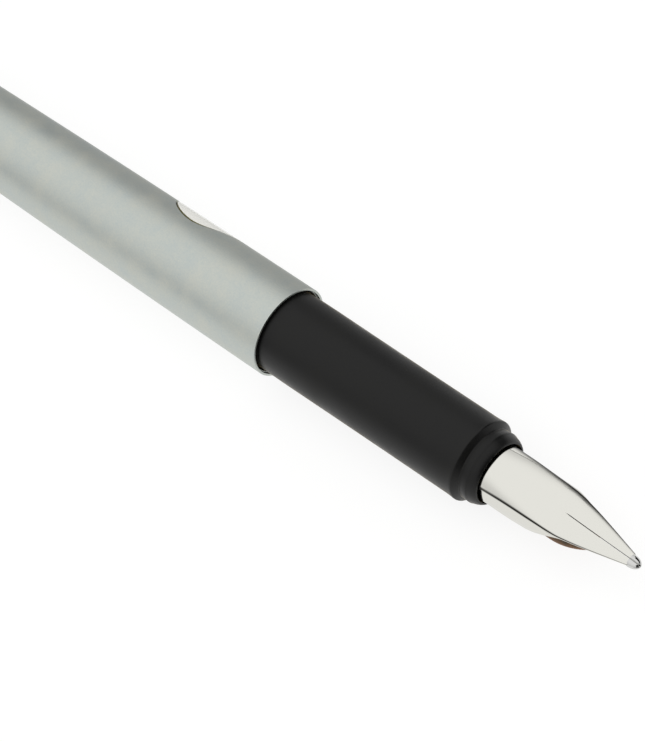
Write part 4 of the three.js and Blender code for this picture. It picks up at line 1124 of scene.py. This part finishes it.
def inset_outline(outline, inset):
    """The outline moved inwards by a distance; it runs anticlockwise or clockwise."""
    area = sum(a[0] * b[1] - b[0] * a[1] for a, b in zip(outline, outline[1:] + outline[:1]))
    inwards = 1 if area > 0 else -1
    moved = []
    for i, here in enumerate(outline):
        here = Vector(here)
        before = (here - Vector(outline[i - 1])).normalized()
        after = (Vector(outline[(i + 1) % len(outline)]) - here).normalized()
        middle = (before + after).normalized()
        reach = inset / max(0.5, middle.dot(after))
        moved.append(here + inwards * reach * Vector((-middle.y, middle.x)))
    return moved


def clip_block(name, outline, half_width, edge, material):
    """A flat outline of (x, height) in mm, given a width and rounded edges, on the clip's side."""
    to_clip = Matrix.Rotation(-clip_turn, 3, "X")
    rounding = [(0, 1.6), (0, 1), (0.13, 0.5), (0.5, 0.13), (1, 0), (1.6, 0)] if edge else [(0, 0)]
    cuts = [(half_width - narrower * edge, inset * edge) for narrower, inset in rounding]
    layers = []
    for side, inset in [(-side, inset) for side, inset in cuts] + cuts[::-1]:
        drawn = inset_outline(outline, inset)
        layers.append([place(0, 0) + to_clip @ Vector((x, side, height)) * MM for x, height in drawn])
    return skin_piece(name, layers, material, capped=True)


def cut(piece, cutter):
    """Cuts one piece out of another and keeps the result as a plain mesh."""
    modifier = piece.modifiers.new("cut", "BOOLEAN")
    modifier.object = cutter
    modifier.solver = "EXACT"
    keep_result(piece, modifier)


SLOT_FLOOR = 2.6            # heights from the axis between which the slot is cut
SLOT_TOP = 9
slot_rear = root_middle - CLIP_THICKNESS / 2 - SLOT_GAP
slot_front = root_middle + CLIP_THICKNESS / 2 + SLOT_GAP
slot_cutter = clip_block("slot_cutter", [
    (slot_rear, SLOT_FLOOR), (slot_front, SLOT_FLOOR), (slot_front, SLOT_TOP), (slot_rear, SLOT_TOP),
], CLIP_WIDTH / 2 + SLOT_GAP, 0, anodised)
cap = turn_piece("cap_shell", [
    (cap_rear, cap_radius - CAP_WALL), (cap_front, cap_radius - CAP_WALL), (cap_front, cap_radius),
    (cap_rear, cap_radius),
], anodised, edge=0.09, sides=144)
cut(cap, slot_cutter)
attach(cap, "cap")
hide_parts("cap_tube")

# ---------------------------------------------------------------- inner cap
# A white acetal liner inside the cap that closes round the section's ring, so that the nib
# doesn't dry out.
LINER_WALL = 0.6
LINER_END_WALL = 1.2
SCREW_HOLE = 1.15
liner_bore = liner_radius - LINER_WALL
liner_floor = liner_rear + LINER_END_WALL
liner = turn_piece("cap_liner", [
    (liner_front, liner_bore), (liner_front, liner_radius), (liner_rear, liner_radius),
    (liner_rear, SCREW_HOLE), (liner_floor, SCREW_HOLE), (liner_floor, liner_bore),
], white_acetal, sides=112)
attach(liner, "cap")
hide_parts("inner_cap")

# ---------------------------------------------------------------- cap end and its screw
# A turned aluminium disc closes the cap, with a fine groove round its edge. A plated screw runs
# through it into the liner and holds the clip's root between the two.
FINIAL_SPIGOT = 2.0
SCREW_SHANK = 1.1
SCREW_HEAD = 0.7
SCREW_SLOT = 0.22           # half the width of the driver's slot
SCREW_SLOT_DEPTH = 0.35
GROOVE_DEPTH = 0.14
end_rear, end_front, _ = span("cap_finial")
screw_rear, screw_front, screw_radius = span("cap_screw")
spigot_radius = cap_radius - CAP_WALL - FIT
rim = end_front - FINIAL_SPIGOT
finial = turn_piece("cap_end", [
    (end_front, SCREW_HOLE), (end_front, spigot_radius), (rim, spigot_radius), (rim, cap_radius),
    (rim - 0.35, cap_radius), (rim - 0.42, cap_radius - GROOVE_DEPTH),
    (rim - 0.58, cap_radius - GROOVE_DEPTH), (rim - 0.65, cap_radius),
    (end_rear + 0.5, cap_radius), (end_rear, cap_radius - 0.5), (end_rear, screw_radius + FIT),
    (end_rear + 0.75, screw_radius + FIT), (end_rear + 0.75, SCREW_HOLE),
], anodised, edge=0.1, sides=144)
cut(finial, slot_cutter)
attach(finial, "cap")
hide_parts("cap_finial")
bpy.data.objects.remove(slot_cutter)

slot_end = screw_rear + SCREW_SLOT_DEPTH
driver_slot = clip_block("driver_slot", [
    (screw_rear - 1, -SCREW_SLOT), (slot_end, -SCREW_SLOT), (slot_end, SCREW_SLOT),
    (screw_rear - 1, SCREW_SLOT),
], 3.0, 0, nickel_plate)
screw = turn_piece("end_screw", [
    (screw_rear, 0), (screw_rear, screw_radius), (screw_rear + SCREW_HEAD, screw_radius),
    (screw_rear + SCREW_HEAD, SCREW_SHANK), (screw_front, SCREW_SHANK), (screw_front, 0),
], nickel_plate, edge=0.12, sides=64)
cut(screw, driver_slot)
bpy.data.objects.remove(driver_slot)
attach(screw, "cap")
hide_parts("cap_screw")

# ---------------------------------------------------------------- clip
# A strip of spring steel, bent to an arm and a foot, nickel plated and brushed along its length.
# Its root goes through the cap's slot.
CLIP_REACH = 8.4
CLIP_LENGTH = 38.0
CLIP_EDGE = 0.18
ROOT_DEPTH = 2.9
FOOT_HEIGHT = barrel_radius + 0.31

# Spring steel, nickel plated and brushed: bright, with fine lines that run along the clip.
brushed_plate, tree, surface, where = start_material(
    "Nickel-plated spring steel, brushed", "#cfcec9", 0.2, 1.0)
drawn_out = add_node(tree, "ShaderNodeMapping", {"Vector": where, "Scale": (0.03, 1.0, 1.0)})
lines = add_node(tree, "ShaderNodeTexNoise", {"Vector": drawn_out, "Scale": 1 / (0.08 * MM), "Detail": 3.0})
sheen = add_node(tree, "ShaderNodeMapRange", {"Value": lines, 3: 0.12, 4: 0.34})
relief = add_node(tree, "ShaderNodeBump", {"Height": lines, "Strength": 0.2, "Distance": 0.006 * MM})
connect(surface, {"Roughness": sheen, "Normal": relief})

half_sheet = CLIP_THICKNESS / 2
root_rear = root_middle - half_sheet
root_front = root_middle + half_sheet
arm_inner = CLIP_REACH - CLIP_THICKNESS
toe = root_middle + CLIP_LENGTH
foot_outer = FOOT_HEIGHT + CLIP_THICKNESS
clip_outline = [
    (root_rear, ROOT_DEPTH), (root_front, ROOT_DEPTH), (root_front, arm_inner),
    *bend((toe - 9, arm_inner), (toe - 5, arm_inner), (toe - 3.4, FOOT_HEIGHT)), (toe - 2.2, FOOT_HEIGHT),
    (toe - 0.02, arm_inner), (toe - 0.02, arm_inner + half_sheet), (toe - 2.8, foot_outer),
    *bend((toe - 3.0, foot_outer), (toe - 4.2, CLIP_REACH), (toe - 8.2, CLIP_REACH)),
    *bend((root_front, CLIP_REACH), (root_rear, CLIP_REACH), (root_rear, arm_inner)),
]
clip_outline = soften(clip_outline, CLIP_EDGE, True)
clip = clip_block("clip_spring", clip_outline, CLIP_WIDTH / 2, CLIP_EDGE, brushed_plate)
settle(clip.data)
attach(clip, "clip")
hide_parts("clip")

# ---------------------------------------------------------------- floor, light and camera
# A plain white table, a white room, one large soft lamp overhead, and dark cards beside the pen
# that draw the dark lines on its metal, as a product photographer would set them. The grey card
# lying on the table beside the pen is a painted shade of the table, seen only in reflections.
scene = bpy.context.scene
scene.view_settings.view_transform = "Standard"
FLOOR_HALF = 3.0
FLOOR_GLOW = 0.8            # how much of the floor's brightness is its own, where it is looked at
FLOOR_SEEN = 1.06           # its own brightness to the camera
FLOOR_MIRRORED = 0.95       # its own brightness in the pen's reflections
ROOM_LIGHT = 0.78           # the white room's light on matt surfaces
ROOM_SIDES = 0.74           # how bright the room's sides are in reflections, against its ceiling
WHITE = (1, 1, 1, 1)


def looked_at(tree):
    """1 where the camera sees the surface straight, in a mirror or through glass, else 0."""
    path = add_node(tree, "ShaderNodeLightPath").outputs
    mirrored = add_node(tree, "ShaderNodeMath", {0: path["Is Glossy Ray"], 1: path["Is Transmission Ray"]},
                        operation="ADD")
    seen = add_node(tree, "ShaderNodeMath", {0: path["Is Camera Ray"], 1: mirrored}, operation="ADD",
                    use_clamp=True)
    return seen, path["Is Camera Ray"]


floor_paint, tree, surface, _ = start_material("White table", "#f4f4f2", 0.9)
connect(surface, {"Specular IOR Level": 0.1})
seen, by_camera = looked_at(tree)
strength = add_node(tree, "ShaderNodeMapRange", {"Value": by_camera, 3: FLOOR_MIRRORED, 4: FLOOR_SEEN})
glow = add_node(tree, "ShaderNodeEmission", {"Color": WHITE, "Strength": strength})
glow_share = add_node(tree, "ShaderNodeMath", {0: seen, 1: FLOOR_GLOW}, operation="MULTIPLY")
lit_floor = add_node(tree, "ShaderNodeMixShader", {0: glow_share, 1: surface, 2: glow})
connect(tree.nodes["Material Output"], {"Surface": lit_floor})
square = [(-FLOOR_HALF, -FLOOR_HALF, 0), (FLOOR_HALF, -FLOOR_HALF, 0), (FLOOR_HALF, FLOOR_HALF, 0),
          (-FLOOR_HALF, FLOOR_HALF, 0)]
floor = make_piece("table_top", square, [[0, 1, 2, 3]], floor_paint)

world = bpy.data.worlds.new("White room")
scene.world = world
world.use_nodes = True
tree = world.node_tree
toward = add_node(tree, "ShaderNodeTexCoord").outputs["Generated"]
upwards = add_node(tree, "ShaderNodeSeparateXYZ", {0: toward}).outputs["Z"]
height = add_node(tree, "ShaderNodeMapRange", {"Value": upwards, 1: 0.1, 2: 0.9, 3: ROOM_SIDES, 4: 1.0},
                  interpolation_type="SMOOTHSTEP")
seen, by_camera = looked_at(tree)
strength = add_node(tree, "ShaderNodeMath", {0: by_camera, 1: height}, operation="MAXIMUM")
white_light = add_node(tree, "ShaderNodeBackground", {"Color": WHITE, "Strength": strength})
room_light = add_node(tree, "ShaderNodeBackground", {"Color": WHITE, "Strength": ROOM_LIGHT})
room = add_node(tree, "ShaderNodeMixShader", {0: seen, 1: room_light, 2: white_light})
connect(tree.nodes["World Output"], {"Surface": room})

CAMERA_RIGHT = Vector((0.72404, 0.64422, -0.24648))
CAMERA_UP = Vector((-0.48745, 0.73072, 0.47795))
CAMERA_BACK = Vector((0.48801, -0.22591, 0.84310))
CAMERA_AWAY = Vector((3.892, -4.468, 392.6))    # mm right, up and back from the barrel's lip
camera_data = bpy.data.cameras.new("camera")
camera_data.sensor_fit = "HORIZONTAL"
camera_data.sensor_width = 36.0
camera_data.lens = 189.27
camera_data.clip_start = 0.01
camera_data.clip_end = 20.0
camera = bpy.data.objects.new("camera", camera_data)
scene.collection.objects.link(camera)
camera_turn = Matrix((CAMERA_RIGHT, CAMERA_UP, CAMERA_BACK)).transposed()
eye = place(0, 0) + camera_turn @ CAMERA_AWAY * MM
camera.matrix_world = Matrix.Translation(eye) @ camera_turn.to_4x4()
scene.camera = camera

BACKWARDS = 0.559       # how far back a reflection runs for each step away from the pen
CARD_REAR = -600        # where the cards end behind the pen


def add_flag(name, tone, corners):
    """A grey panel seen only in reflections, its corners in mm from the lip, the axis and the table."""
    paint = bpy.data.materials.new(name + " paint")
    paint.use_nodes = True
    plain = add_node(paint.node_tree, "ShaderNodeEmission", {"Color": linear(tone), "Strength": 1.0})
    connect(paint.node_tree.nodes["Material Output"], {"Surface": plain})
    points = [(LIP + x * MM, AXIS_Y + y * MM, z * MM) for x, y, z in corners]
    flag = make_piece(name, points, [[0, 1, 2, 3]], paint)
    flag.visible_camera = False
    flag.visible_diffuse = False
    flag.visible_shadow = False
    flag.visible_transmission = False


def add_card(name, tone, front, across, heights):
    """A grey card beside the pen, seen only in reflections on what lies behind a place."""
    (near, far), (low, high) = across, heights
    add_flag(name, tone, [
        (CARD_REAR, near, low), (front - BACKWARDS * abs(near), near, low),
        (front - BACKWARDS * abs(far), far, high), (CARD_REAR, far, high),
    ])


# Painted shade: a grey card lying on the table on the pen's far side, seen only in reflections.
add_card("far_table_card", "#bababa", 30, (12, 200), (0.1, 0.1))
add_card("far_wall_card", "#a8a8a8", 30, (200, 200), (0.1, 90))
add_card("far_high_card", "#c4c4c4", 30, (205, 205), (90, 180))
add_card("near_wall_card", "#cccccc", 30, (-200, -200), (0.1, 110))
add_card("horizon_card", "#8c8c8c", 200, (320, 320), (0.1, 26))
add_flag("front_flag", "#1c1c1c", [(300, -330, 15), (300, 220, 15), (300, 220, 430), (300, -330, 430)])
add_flag("side_flag", "#101014", [(-25, 250, 8), (-5, 250, 8), (-5, 250, 105), (-25, 250, 105)])
add_flag("tip_flag", "#101014", [(-5, 250, 8), (230, 250, 8), (230, 250, 200), (-5, 250, 200)])
add_flag("table_flag", "#101014", [(61, -60, 0.1), (170, -60, 0.1), (170, 6, 0.1), (61, 6, 0.1)])

LAMP_DISTANCE = 0.7
lamp_data = bpy.data.lights.new("overhead lamp", "AREA")
lamp_data.shape = "RECTANGLE"
lamp_data.size = 0.7
lamp_data.size_y = 0.5
lamp_data.energy = 1.2
lamp = bpy.data.objects.new("overhead lamp", lamp_data)
scene.collection.objects.link(lamp)
lamp_toward = Vector((-0.35, -0.1, 1)).normalized()
lamp_turn = lamp_toward.to_track_quat("Z", "Y").to_matrix().to_4x4()
lamp.matrix_world = Matrix.Translation(place(20, 0) + lamp_toward * LAMP_DISTANCE) @ lamp_turn
lamp.visible_glossy = False
